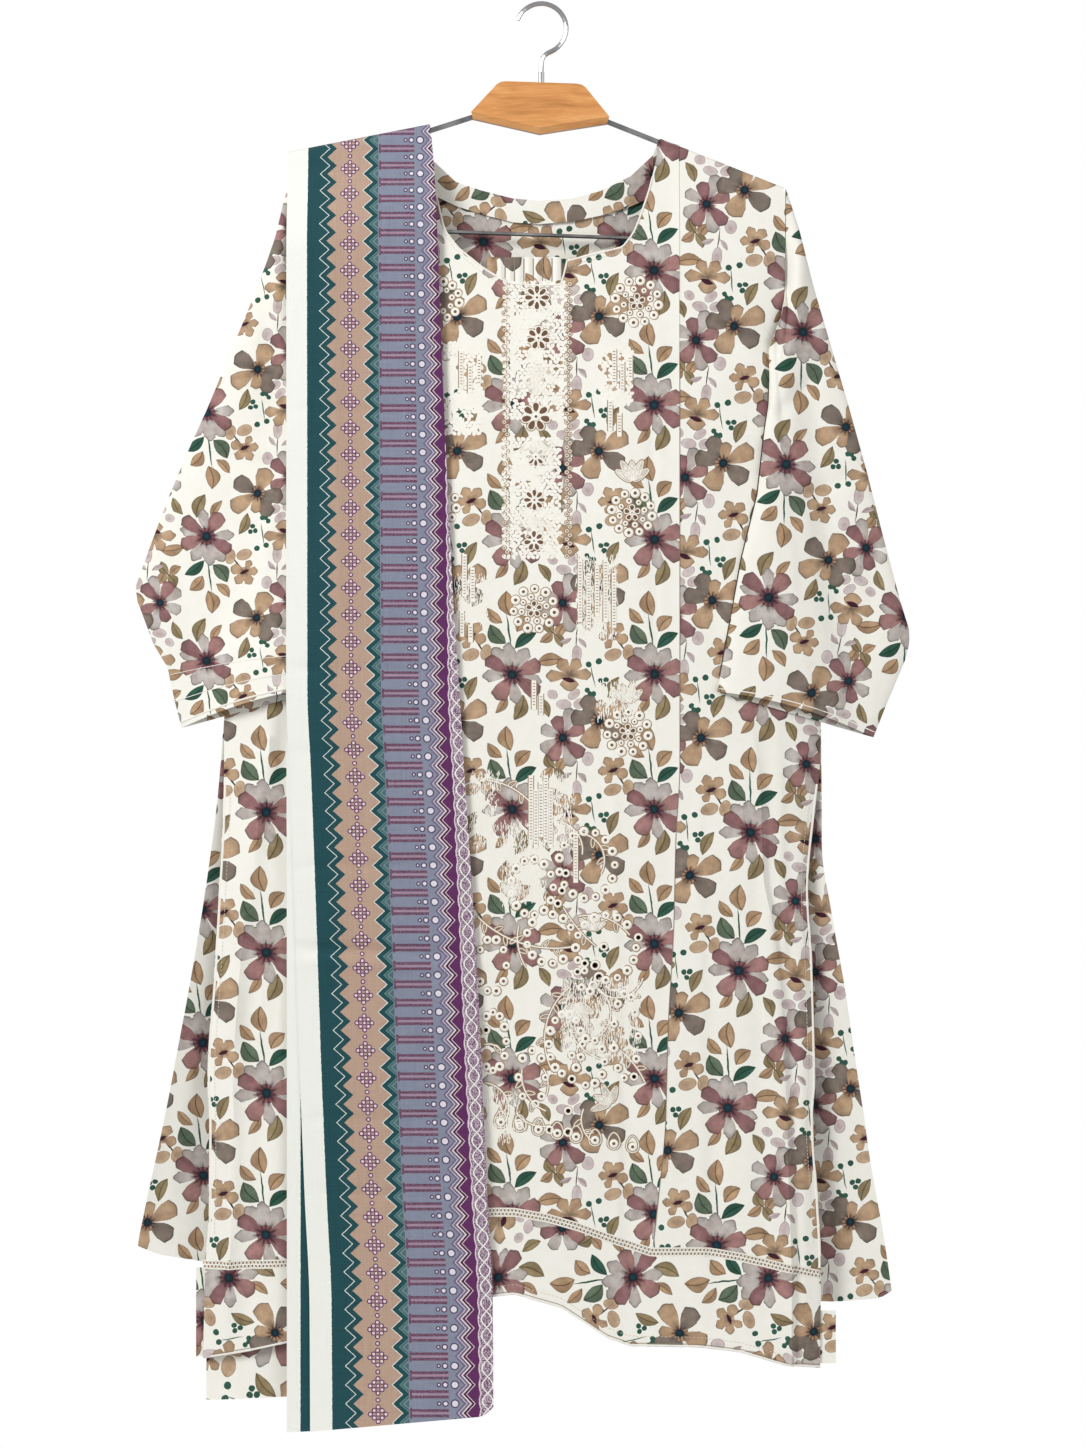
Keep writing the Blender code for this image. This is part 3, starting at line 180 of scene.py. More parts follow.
# Dupatta: edges of its top layer, and how far it lies in front of the hanger.
DUPATTA = table("drop left right depth_left depth_right", """100 -227 -99.9 20 20,
    167 -227 -94.5 26.5 21, 292 -227 -89.6 28 21.5, 411 -227 -84.6 28 21.5,
    536 -227 -78.3 30 22.5, 615 -227 -73 30 22.5, 691 -224 -68.4 27 22.5,
    824 -219.5 -59.4 24 22.5, 937 -216 -53.6 23.5 22.5, 1067 -211 -47.7 23 22.5,
    1165 -206.6 -43 23.5 23, 1285 -206 -42.3 24 23.5""")
DUPATTA_HEM = table("x drop", """-227 1278.5, -206 1277.6, -54.9 1264.5, -44 1261.8""")
DUPATTA_CORNER, CORNER_FROM = 6.0, 0.93    # rounding of the front hem's right corner
DUPATTA_CREST_LEFT, DUPATTA_CREST_RIGHT = 131.1, 106.2
DUPATTA_ARCH = 8.3        # radius of the bend over the shoulder
DUPATTA_ROUNDING = 85.0
DUPATTA_LAYER = 1.9       # from the middle of one layer to the next
UNDER_LEFT, UNDER_RIGHT, UNDER_TOP = -227.0, -96.0, 662.0
UNDER_SHOWN = 6.7         # how far from the lower layer's folded edge its shown strip starts
DUPATTA_BACK = table("drop left right depth_left depth_right", """100 -227 -99.9 17 17,
    300 -227 -92 17.5 17.5, 615 -226 -74 17 17.5, 937 -224 -60 19 19, 1255 -222 -55 20.5 20.5""")
DUPATTA_BACK_HEM = table("x drop", """-222 1252, -55 1246""")

# Trousers: each leg's fold edges, its half depth and the plane between the legs.
LEGS = table("drop left right half_depth between", """236 -184 -97 0.9 -4.4,
    310 -190 -98 1.2 -3.8, 445 -196 -99 1.7 -3, 560 -213 -99 2.2 -1.6, 650 -236 -99 2.5 -1,
    760 -253 -99 2.8 -1, 880 -268 -99 3 -1, 1000 -281 -100 3.2 -1, 1120 -293 -100 3.4 -1,
    1214 -300.6 -100 3.6 -1, 1253 -300.6 -100 3.6 -1""")
LEG_HEM = table("x drop", """-300.6 1253.3, -227.7 1249.2, -100 1242""")
LEG_THIN = 0.35           # least half depth
BAND_LEFT, BAND_RIGHT, BAND_THICKNESS = -184.0, -97.0, 4.4
BAND_FRONT, BAND_BACK = 33.0, 48.0         # how far the waistband hangs each side of the bar

# Soft folds: each runs along a line and raises the cloth, or lowers it. They begin below
# the shoulders.
FOLDS_FROM, FOLDS_EASE = 150.0, 60.0
FRONT_FOLDS = table("x1 drop1 x2 drop2 width height", """-236 600 -253 720 6 3.3,
    -253 700 -273 930 7 4.5, -273 880 -280 1200 8 4.5, -205 760 -222 1190 12 -3,
    -150 820 -160 1180 16 2.4, 165 530 175 600 6 2.4, 120 330 185 300 14 -2.1,
    -120 340 -185 305 14 -1.8, 60 300 95 640 30 2, -55 280 -70 700 28 1.5, 20 720 35 1140 26 2.1,
    -30 860 -45 1150 20 -2, 75 900 80 1180 14 -1.8, 150 820 160 1190 12 -2.1,
    232 760 236 1210 7 2.2, -239 640 -262 800 2.6 2.4, -262 800 -276 940 2.8 2.8,
    -276 940 -281 1190 3 2.8, -228 720 -262 1180 3.4 -2, 166 520 172 575 2.4 1.5,
    212 640 219 900 3 1.8, 219 900 226 1190 3 1.8, 190 680 201 1180 5 -1.8,
    140 700 146 1190 4 1.5, 64 640 70 1180 4.5 1.1, -48 1040 -44 1150 4 1.2,
    98 300 104 640 4 -1.1""")
BACK_FOLDS = table("x1 drop1 x2 drop2 width height", """-230 620 -318 1110 12 3.9,
    -180 660 -240 1130 14 -3.3, -110 560 -150 1140 18 3.3, -20 480 -30 1150 24 -2.4,
    60 600 78 1150 18 3.6, 140 640 176 1160 14 -3.3, 205 640 262 1160 12 3.9,
    -150 210 -60 300 22 1.8, 150 220 50 330 24 2, -195 400 -90 430 14 -2, 190 430 110 470 14 -2,
    246 700 254 771 2.6 2.2, 254 771 266 850 2.6 2.6, 262 840 292 1150 4 2.4,
    -262 700 -330 1100 4 2.2""")
SLEEVE_FOLDS_LEFT = table("x1 drop1 x2 drop2 width height", """-232 225 -222 330 7 -2.4,
    -262 330 -215 372 7 -2.2, -300 400 -235 420 9 -2, -240 380 -290 600 14 1.8,
    -330 500 -300 620 10 -1.5""")
SLEEVE_FOLDS_RIGHT = table("x1 drop1 x2 drop2 width height", """222 215 216 310 6 -2.4,
    250 330 210 372 7 -2.2, 285 420 225 450 9 -1.8, 225 400 250 610 14 1.8,
    300 500 285 630 9 -1.5, 195 470 190 610 8 -1.4""")
CROSS_FOLDS = table("x1 drop1 x2 drop2 width height", """-227 365 -85 369 3 -1.5,
    -227 596 -72 600 3.4 -1.9, -224 672 -68 668 3 -1.4, -219 774 -60 770 3.4 -2,
    -217 846 -54 852 4.4 -3.4, -217 858 -54 864 3.6 2.2, -211 998 -48 1000 3.2 -1.9,
    -206 1064 -44 1068 3.2 -1.7, -190 200 -180 560 9 1.5, -120 180 -112 520 9 1.4,
    -150 600 -135 1200 10 1.4""")


# ---------------------------------------------------------------- small maths

def blend(low, high, part):
    return low + (high - low) * part


def steps(low, high, count):
    """Places from low to high, count even steps apart."""
    return [blend(low, high, k / count) for k in range(count + 1)]


def circle(count):
    """Even turns round a circle."""
    return [math.tau * k / count for k in range(count)]


def clamped(value):
    return min(1.0, max(0.0, value))


def smoothstep(value):
    part = clamped(value)
    return part * part * (3.0 - 2.0 * part)


def read(rows, column, at):
    """A smooth curve through a table's rows that never overshoots them."""
    xs, ys = next(iter(rows.values())), rows[column]
    if at <= xs[0]:
        return ys[0]
    if at >= xs[-1]:
        return ys[-1]
    i = max(k for k in range(len(xs) - 1) if xs[k] <= at)

    def secant(k):
        return (ys[k + 1] - ys[k]) / (xs[k + 1] - xs[k])

    def slope(k):
        if k in (0, len(xs) - 1):
            return secant(min(k, len(xs) - 2))
        before, after = secant(k - 1), secant(k)
        return 2.0 * before * after / (before + after) if before * after > 0.0 else 0.0

    width = xs[i + 1] - xs[i]
    t = (at - xs[i]) / width
    return ((2 * t ** 3 - 3 * t ** 2 + 1) * ys[i] + (t ** 3 - 2 * t ** 2 + t) * width * slope(i)
            + (3 * t ** 2 - 2 * t ** 3) * ys[i + 1] + (t ** 3 - t ** 2) * width * slope(i + 1))


def side_edges(rows, drop):
    """Where a cloth's left and right edges are."""
    return read(rows, "left", drop), read(rows, "right", drop)


def straight(rows, at, column="drop"):
    """Straight lines through a table's rows."""
    return float(np.interp(at, rows["x"], rows[column]))


def between(one, other, across):
    """A place down the cloth, between two lines given as table and column."""
    return lambda drop: blend(read(*one, drop), read(*other, drop), across)


def round_place(x, drop, radius, turn):
    return x + radius * math.cos(turn), drop + radius * math.sin(turn)


def heading(degrees, scale=1.0):
    """Cosine and sine of a heading, times a scale."""
    turn = math.radians(degrees)
    return math.cos(turn) * scale, math.sin(turn) * scale


def along_path(rows, part):
    """The point at a part, from 0 to 1, of the length of a table's x, drop path."""
    parts = np.hypot(np.diff(rows["x"]), np.diff(rows["drop"]))
    lengths = np.concatenate([[0.0], np.cumsum(parts)])
    return [float(np.interp(part * lengths[-1], lengths, rows[name])) for name in ("x", "drop")]


def lens(part):
    """Fullness across a flattened hollow, 0 at its edges and 1 at its middle."""
    return max(0.0, 1.0 - abs(2.0 * part - 1.0) ** 4) ** 0.6


# ---------------------------------------------------------------- surfaces of the solids

def hanger_point(x, drop):
    """A point of the hanger's own frame, tilted about the block's top, as (x, z)."""
    return (PIVOT_X + x * math.cos(TILT) - drop * math.sin(TILT),
            -(PIVOT_DROP + x * math.sin(TILT) + drop * math.cos(TILT)))


def level(x, start_x, drop, slope):
    """Drop, at a place across the garment, of a line in the hanger's own frame."""
    reach = math.copysign(100.0, start_x)
    near = hanger_point(start_x, drop)
    far = hanger_point(start_x + reach, drop + 100.0 * slope)
    return -blend(near[1], far[1], (x - near[0]) / (far[0] - near[0]))


def arm_drop(x):
    return level(x, math.copysign(ARM_START_X, x), ARM_START_DROP, ARM_SLOPE)


def bar_drop(x):
    return level(x, 0.0, BAR_DROP, 0.0)


ON_ARM = ARM_RADIUS + GAP + CLOTH / 2.0      # middle of the cloth over an arm


def body_depth(x, drop, rows, depths):
    """Distance of a body panel's middle surface from the hanger's plane."""
    left, right = side_edges(rows, drop)
    middle, edge = read(depths, "middle", drop), read(depths, "edge", drop)
    full = edge + (middle - edge) * lens(clamped((x - left) / (right - left)))
    return ON_ARM + (full - ON_ARM) * smoothstep((drop - arm_drop(x)) / SHOULDER_ROUNDING)


def front_depth(x, drop):
    return body_depth(x, drop, FRONT_SIDES, FRONT_DEPTH)


def back_depth(x, drop):
    return body_depth(x, drop, BACK_SIDES, BACK_DEPTH)


def pressed(x, drop):
    """How far the side edges lie in where front and back are joined."""
    below = max(0.0, (drop - JOINED_TOP) / PRESSED_EASE)
    joined = min(1.0, below * max(0.0, (JOINED_END - drop) / PRESSED_EASE))
    left, right = side_edges(FRONT_SIDES, drop)
    return PRESSED * joined * max(0.0, 1.0 - min(x - left, right - x) / PRESSED_WIDE)


def pleat_raise(x, drop):
    """How far the right side panel's pleat raises the front."""
    seam = read(FRONT_SEAMS, "right", drop)
    if x <= seam:
        return 0.0
    fold, height = read(PLEATS, "right", drop), read(PLEATS, "height", drop)
    if x <= fold:
        return height * ((x - seam) / (fold - seam)) ** 1.5
    return height * max(0.0, 1.0 - (x - fold) / PLEAT_RETURN)


def dressed_front(x, drop):
    """The front's surface without its soft folds."""
    return front_depth(x, drop) + pleat_raise(x, drop) - pressed(x, drop)


def dressed_back(x, drop):
    return back_depth(x, drop) - pressed(x, drop)


def armhole_bulge(side, outer, inner, across):
    """How far the armhole's curve stands out from its chord, across the garment."""
    x, drop = blend(outer[0], inner[0], across), blend(outer[1], inner[1], across)
    edge_x = read(FRONT_SIDES, "left" if side < 0 else "right", drop)
    curl = max(0.0, across - ARMHOLE_CURL_FROM) / (1.0 - ARMHOLE_CURL_FROM)
    return edge_x + side * (2.0 * GAP - ARMHOLE_CURL * curl ** 1.5) - x


def dupatta_crest(x):
    left, right = DUPATTA["left"][0], DUPATTA["right"][0]
    return blend(DUPATTA_CREST_LEFT, DUPATTA_CREST_RIGHT, (x - left) / (right - left))


def dupatta_depth(rows, across, x, drop):
    """Distance of the dupatta's middle surface from the hanger's plane."""
    full = blend(read(rows, "depth_left", drop), read(rows, "depth_right", drop), across)
    below = (drop - dupatta_crest(x) - DUPATTA_ARCH) / DUPATTA_ROUNDING
    return blend(DUPATTA_ARCH, full, smoothstep(below))


# ---------------------------------------------------------------- shells and threads

def crease(folds, x, drop):
    """Height that soft folds add at places given as arrays."""
    total = np.zeros_like(x)
    for x1, d1, x2, d2, width, height in zip(*folds.values()):
        along = np.array([x2 - x1, d2 - d1])
        part = np.clip(((x - x1) * along[0] + (drop - d1) * along[1]) / along.dot(along), 0.0, 1.0)
        distance = np.hypot(x - x1 - part * along[0], drop - d1 - part * along[1])
        faded = 1.0 - 0.75 * (2.0 * part - 1.0) ** 4
        total += height * np.exp(-(distance / width) ** 2) * faded
    return total


def linked(name, data):
    """A new object in the scene."""
    made = bpy.data.objects.new(name, data)
    bpy.context.scene.collection.objects.link(made)
    return made


def finished(name, points, faces, uvs, material, nodes=()):
    """A piece from points in millimetres, riding on the suit."""
    mesh = bpy.data.meshes.new(name)
    mesh.from_pydata(np.asarray(points) * MM, [], faces)
    if uvs is not None:
        corners = np.empty(len(mesh.loops), np.int32)
        mesh.loops.foreach_get("vertex_index", corners)
        layer = mesh.uv_layers.new(name="cloth")
        layer.data.foreach_set("uv", (np.asarray(uvs)[corners] * MM).ravel())
    mesh.materials.append(material)
    mesh.shade_smooth()
    mesh.set_sharp_from_angle(angle=math.radians(50))
    piece = linked(name, mesh)
    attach(piece, "root")
    if nodes:
        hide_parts(*nodes)
    return piece


def shell(name, rows, lay, material, node, thickness=SHELL, closed=False):
    """A thin closed shell on a grid of middle points; lay turns x, drop into the flat cloth."""
    grid = np.array(rows, float)
    down = np.gradient(grid, axis=0)
    if closed:
        across = np.roll(grid, -1, 1) - np.roll(grid, 1, 1)
    else:
        across = np.gradient(grid, axis=1)
    normal = np.cross(down, across)
    normal /= np.maximum(np.linalg.norm(normal, axis=2, keepdims=True), 1e-9)
    count, columns = grid.shape[:2]
    size = count * columns
    points = np.concatenate([(grid + normal * thickness / 2.0).reshape(-1, 3),
                             (grid - normal * thickness / 2.0).reshape(-1, 3)])
    index = np.arange(size).reshape(count, columns)
    if closed:
        index = np.concatenate([index, index[:, :1]], axis=1)
    a, b, c, d = index[:-1, :-1], index[:-1, 1:], index[1:, 1:], index[1:, :-1]
    quads = [np.stack([a, d, c, b], -1).reshape(-1, 4),
             np.stack([a, b, c, d], -1).reshape(-1, 4) + size]
    rims = [(index[0, :-1], index[0, 1:]), (index[-1, 1:], index[-1, :-1])]
    if not closed:
        rims += [(index[1:, 0], index[:-1, 0]), (index[:-1, -1], index[1:, -1])]
    quads += [np.stack([p, q, q + size, p + size], -1) for p, q in rims]
    flat = grid.reshape(-1, 3)
    uvs = lay(flat[:, 0], -flat[:, 2])
    return finished(name, points, np.concatenate(quads).tolist(), np.concatenate([uvs, uvs]),
                    material, (node,))


def unit(vectors):
    return vectors / np.maximum(np.linalg.norm(vectors, axis=1, keepdims=True), 1e-9)


class Threads:
    """Thin tubes and patches, gathered to be one piece."""

    def __init__(self):
        self.points, self.faces = [], []

    def skin(self, rings, closed=False):
        """Joins rings of points one after another, and caps the ends of an open row."""
        start, count, sides = len(self.points), len(rings), len(rings[0])
        self.points += [point for ring in rings for point in ring]
        for r in range(count if closed else count - 1):
            here, ahead = start + r * sides, start + (r + 1) % count * sides
            self.faces += [[here + k, here + (k + 1) % sides, ahead + (k + 1) % sides, ahead + k]
                           for k in range(sides)]
        if not closed:
            last = start + (count - 1) * sides
            self.faces += [[start + k for k in range(sides)][::-1],
                           [last + k for k in range(sides)]]

    def tube(self, path, radius, sides=4, closed=False, flat=1.0):
        path = np.asarray(path, float)
        ahead = unit(np.roll(path, -1, 0) - np.roll(path, 1, 0) if closed
                     else np.gradient(path, axis=0))
        side = unit(np.cross(ahead, (0.0, 1.0, 0.0)))
        up = np.cross(side, ahead)
        turns = math.tau * (np.arange(sides) + 0.5)[None, :, None] / sides
        self.skin(path[:, None] + side[:, None] * radius * np.cos(turns)
                  + up[:, None] * radius * flat * np.sin(turns), closed)

    def made(self, name, material, slot, nodes=()):
        return finished(name, self.points, self.faces, None, material, nodes)


# ---------------------------------------------------------------- materials

COLOURS = dict(
    cream="FBF9F0", taupe="83756A", beige="BE9F7F", mauve="94686A", rose="A67A77",
    grey="C3BAB4", teal_dark="15323C", green="6C7D68", teal="3A6555", olive="A1906E",
    lilac="CFBFBE", plum="4A1F33", ink="463A33",
    mint="F6F8F0", deep_teal="174A50", sand="BC9F8C", sage="6E918B", dusk="4C6A73",
    slate="878DA0", heather="736A86", pink="E6D8DE", wine="4A1A38", violet="61295E")


def rgb(name):
    """A linear colour from its name above or its usual six-figure code."""
    code = COLOURS.get(name, name)
    parts = [int(code[k:k + 2], 16) / 255.0 for k in (0, 2, 4)]
    return (*[p / 12.92 if p <= 0.04045 else ((p + 0.055) / 1.055) ** 2.4 for p in parts], 1.0)


class Nodes:
    """Short hands for making nodes in a tree."""

    def __init__(self, tree):
        self.tree = tree

    def put(self, socket, value):
        if isinstance(value, bpy.types.NodeSocket):
            self.tree.links.new(value, socket)
        elif value is not None:
            socket.default_value = value

    def add(self, kind, *inputs, out=0, named=None, **settings):
        """A node's output, from values or links for its inputs in order or by name."""
        node = self.tree.nodes.new("ShaderNode" + kind)
        for key, value in settings.items():
            setattr(node, key, value)
        for place, value in [*enumerate(inputs), *(named or {}).items()]:
            self.put(node.inputs[place], value)
        return node.outputs[out]

    def math(self, operation, *inputs):
        return self.add("Math", *inputs, operation=operation)

    def vector(self, operation, *inputs):
        return self.add("VectorMath", *inputs, operation=operation,
                        out=1 if operation in ("LENGTH", "DOT_PRODUCT", "DISTANCE") else 0)

    def mix(self, part, low, high, blend_type="MIX"):
        return self.add("Mix", data_type="RGBA", blend_type=blend_type, out=2,
                        named={0: part, 6: low, 7: high})

    def ramp(self, value, stops, interpolation="LINEAR"):
        """Colour and alpha outputs of a colour ramp."""
        node = self.add("ValToRGB", value).node
        band = node.color_ramp
        band.interpolation = interpolation
        while len(band.elements) < len(stops):
            band.elements.new(1.0)
        for element, (place, colour) in zip(band.elements, stops):
            element.position, element.color = place, colour
        return node.outputs[0], node.outputs[1]

    def noise(self, where, scale, detail=2.0, roughness=0.5):
        return self.add("TexNoise", named={"Vector": where, "Scale": scale, "Detail": detail,
                                           "Roughness": roughness})

    def cloth_noise(self, where, scale, detail=2.0, roughness=0.5):
        """Noise that is stretched by a scale across, along and out of the cloth."""
        return self.noise(self.vector("MULTIPLY", where, scale), 1.0, detail, roughness)

    def outside(self, dots):
        """How far outside the nearest of some dots, each a place, its middle and its radius."""
        nearest = None
        for place, middle, radius in dots:
            away = self.math("SUBTRACT", self.vector("DISTANCE", place, middle), radius)
            nearest = self.math("MINIMUM", nearest, away) if nearest else away
        return nearest

    def bump(self, height, strength, distance):
        return self.add("Bump", named={"Strength": strength, "Distance": distance,
                                       "Height": height})


class Shader(Nodes):
    """The nodes of a material."""

    def __init__(self, name, **values):
        self.material = bpy.data.materials.new(name)
        self.material.use_nodes = True
        super().__init__(self.material.node_tree)
        self.surface = self.tree.nodes["Principled BSDF"]
        for key, value in values.items():
            self.surface.inputs[key.replace("_", " ")].default_value = value

    def uv(self):
        return self.add("UVMap", uv_map="cloth")

    def object_place(self):
        return self.add("TexCoord", out="Object")

    def finish(self, colour, normal=None, roughness=None):
        for socket, value in (("Base Color", colour), ("Normal", normal), ("Roughness", roughness)):
            self.put(self.surface.inputs[socket], value)
        return self.material


def weave_bump(shader, where, thread, strength):
    """Plain weave, soft wrinkles and slubs as a normal, and where threads cross."""
    turns = shader.vector("MULTIPLY", where, (math.tau / thread, math.tau / thread, 0.0))
    parts = shader.add("SeparateXYZ", shader.vector("SINE", turns))
    over = shader.math("MULTIPLY", parts, parts.node.outputs[1])
    slub = shader.cloth_noise(where, (260.0, 60.0, 1.0))
    height = shader.math("MULTIPLY_ADD", slub, 1.6, over)
    soft = shader.cloth_noise(where, (16.0, 5.5, 1.0), 3.0)
    return shader.bump(shader.math("MULTIPLY_ADD", soft, 14.0, height), strength, 0.0002), over


# The print, a repeat of ordinary flowers, leaves and berries. x and y are millimetres
# from the middle of the largest flower, y up the cloth; turn is in degrees.
REPEAT_X, REPEAT_Y = 126.9, 120.6
# The flowers' middles, and how far the dark rays and the eye reach.
FLOWERS = table("name x y rays eye", """large 0 0 13 4.6, upper -37 34 0 0, lower 51 -1 0 0,
    daisy 77.4 -41.4 9.5 4.2, small 45 -56.7 10 4""")
# Spread is half of a petal's angle.
PETALS = table("flower layer turn reach spread colour", """large under 127 30 19 grey,
    large under 97 29 18 grey, large under 60 27.5 23 grey, large under 184 27.5 20 grey,
    large under 279 27.5 20 grey, large under 345 27.5 18 grey, large over 149 28 22 mauve,
    large over 20 27 25 rose, large over 323 30 22 mauve, large over 238 27 28 rose,
    upper over 55 14.5 34 beige, upper over 118 14.5 33 beige, upper over 180 13.5 32 beige,
    upper over 240 12.5 30 beige, upper over 345 14 38 beige, lower over 180 21 26 beige,
    lower over 4 20 26 beige, lower over 122 17.5 32 beige, lower over 60 17.5 32 beige,
    lower over 270 14.5 62 beige, daisy under 120 26 28 taupe, daisy under 172 26 28 taupe,
    daisy under 328 26.5 31 taupe, daisy over 30 30 27 beige, daisy over 247 27 33 beige,
    daisy over 84 19 27 beige, small under 155 22 24 grey, small under 211 23 25 grey,
    small under 288 27.5 20 grey, small under 74 28 21 grey, small over 108 20.5 27 mauve,
    small over 28 22 26 rose, small over 317 25 24 mauve, small over 243 23 26 rose""")
# The rest: half of the length and of the width from x, y.
MARKS = table("kind x y long wide turn colour", """leaf -8.5 -27.5 10 4.2 238 beige,
    leaf 8 -30.5 12.5 6.6 250 olive, leaf 29.7 -28.8 10 4.6 300 olive,
    leaf 33.3 13.5 12.6 5.9 8 beige, stem -3 38 18 0.9 98 teal, leaf -6.3 63 11.6 7.4 100 beige,
    leaf -17.1 51.3 9.6 4.8 135 beige, leaf 8.1 46.6 9.6 6.4 48 beige,
    leaf -15.3 34.2 11.4 7.2 128 green, leaf 10.8 32 12 5.2 36 teal,
    stem -29.7 26.1 10.8 0.8 308 ink, bud -36.9 17.6 8.1 5.4 200 beige,
    bud -23.4 19.8 7.2 5 80 beige, bud 36 -18 5 4 150 lilac, bud 45.9 -27 6.8 4.5 170 lilac,
    bud 60.3 -26.1 5.9 4.5 20 lilac, bud 54.9 -18 6.3 4 40 lilac, stem 72 -1.8 11.7 0.6 100 teal,
    leaf 89.1 -11.7 11.5 5.2 68 olive, leaf 32.4 -78.3 8 5 120 olive,
    leaf 43.2 -80.2 8 5 60 beige, leaf 42.3 -89.2 7.5 4.6 300 olive,
    leaf 31.5 -88.3 7.5 4.4 220 beige, stem 57.6 -87.3 10.8 0.6 86 ink,
    bud 67.5 -75.6 6.3 5.4 90 lilac, bud 57.6 -103.5 9 4.6 90 lilac,
    leaf 47.7 -90.9 6.4 2.4 200 lilac, leaf 63 -91.8 6 2.4 310 lilac,
    stem -36.9 34.6 5.2 1.9 22 plum, stem 50.4 -4.9 6.6 2.4 345 plum""")
BERRIES = table("x y radius", """68.4 9 2.7, 77.4 11.7 2.7, 79.2 -5.4 2.4, 84.2 -4.5 2.4,
    81.9 -9.9 2.4, 66.6 -14.4 2.3, 69 -17.2 2, 72.6 -17.6 2.4""")

CLUSTERS = [(x, y) for x in (0.0, REPEAT_X / 2.0) for y in (0.0, REPEAT_Y / 2.0)]


def nearest_cluster(x, y):
    """The cluster an element is drawn in, and its place in that cluster's repeat."""
    places = [(x - REPEAT_X * round((x - cx) / REPEAT_X), y - REPEAT_Y * round((y - cy) / REPEAT_Y))
              for cx, cy in CLUSTERS]
    best = min(range(4), key=lambda k: max(abs(p - c) for p, c in zip(places[k], CLUSTERS[k])))
    return best, places[best]


# Tones from a form's middle to its edge, each with how far it covers what is below.
TONES = {name: table("place tone cover", text) for name, text in (
    ("petal", """0 0.3 0.95, 0.25 0.62 0.95, 0.5 1.04 0.95, 0.8 0.98 0.95, 0.93 0.84 0.95,
        0.965 0.4 0.95, 0.985 0.4 0.9, 1 0.4 0"""),
    ("eye", """0 2.2 1, 0.5 1.2 1, 0.8 0.8 1, 1 0.8 0"""),
    ("ray", """0 1 0.95, 0.3 1 0.85, 0.75 1 0.6, 1 1 0"""),
    ("leaf", """0 0.9 1, 0.5 1.05 1, 0.84 0.96 1, 0.93 0.42 0.95, 1 0.36 0"""),
    ("bud", """0 0.88 0.9, 0.5 1.05 0.9, 0.84 0.9 0.9, 0.93 0.5 0.9, 1 0.4 0"""),
    ("stem", """0 1 1, 0.8 0.9 1, 1 0.8 0"""),
    ("rib", """0 1 0, 0.462 1 0, 0.468 1 0.85, 0.525 1 0.85, 0.532 1 0.2, 1 1 0.28"""))}
FARTHEST = 40.0           # no petal reaches further
PETAL_ROUND = ((0.0, 1.0), (0.6, 0.93), (0.86, 0.68), (1.0, 0.3))     # reach aside of its middle


def toned(nodes, edge, kind):
    """A ramp's grey tone and its cover."""
    return nodes.ramp(edge, [(place, (tone, tone, tone, alpha))
                             for place, tone, alpha in zip(*TONES[kind].values())])


def petal_ring(flower, layer):
    """Stops around a flower: a layer's petal colour, and its reach as alpha."""
    petals = [petal for petal in zip(*PETALS.values()) if petal[:2] == (flower, layer)]

    def reach_at(turn):
        best = (0.0, petals[0][5])
        for _, _, middle, reach, spread, colour in petals:
            aside = abs((turn - middle + 180.0) % 360.0 - 180.0) / spread
            for (near, high), (far, low) in zip(PETAL_ROUND, PETAL_ROUND[1:]):
                if near <= aside <= far + 1e-6:
                    part = (aside - near) / (far - near)
                    best = max(best, (reach * blend(high, low, part), colour))
        return max(best[0], 3.0), best[1]

    parts = (-1.0, -0.86, -0.6, 0.0, 0.6, 0.86, 1.0) if len(petals) < 5 else (-1, -0.7, 0, 0.7, 1)
    turns = {(petal[2] + petal[4] * part) % 360.0 for petal in petals for part in parts}
    stops = []
    for turn in sorted(turns | {0.0, 360.0}):
        reach, colour = reach_at(turn)
        stops.append((turn / 360.0, (*rgb(colour)[:3], reach / FARTHEST)))
    return stops


def paint_flower(nodes, below, place, name, rays, eye):
    """A flower's layers of petals, then the dark rays and the eye at its middle."""
    away = nodes.vector("LENGTH", place)
    parts = nodes.add("SeparateXYZ", place)
    angle = nodes.math("ARCTAN2", parts.node.outputs[1], parts)
    turn = nodes.math("FRACT", nodes.math("DIVIDE", angle, math.tau))
    reach = nodes.math("MULTIPLY", away, 1.0 / FARTHEST / MM)

    def covered(below, fill, edge, kind):
        shade, cover = toned(nodes, edge, kind)
        return nodes.mix(cover, below, nodes.mix(1.0, fill, shade, "MULTIPLY"))

    for layer in ("under", "over"):
        if (name, layer) in zip(PETALS["flower"], PETALS["layer"]):
            fill, outline = nodes.ramp(turn, petal_ring(name, layer), "EASE")
            below = covered(below, fill, nodes.math("DIVIDE", reach, outline), "petal")
    if rays:
        spokes = nodes.math("SINE", nodes.math("MULTIPLY", angle, 11.0))
        ragged = nodes.math("MULTIPLY_ADD", spokes, 0.45 / rays / MM, 1.5 / rays / MM)
        edge = nodes.math("MULTIPLY", away, ragged)
        below = nodes.mix(toned(nodes, edge, "ray")[1], below, rgb("plum"))
        edge = nodes.math("MULTIPLY", away, 1.0 / eye / MM)
        below = covered(below, rgb("teal_dark"), edge, "eye")
    return below


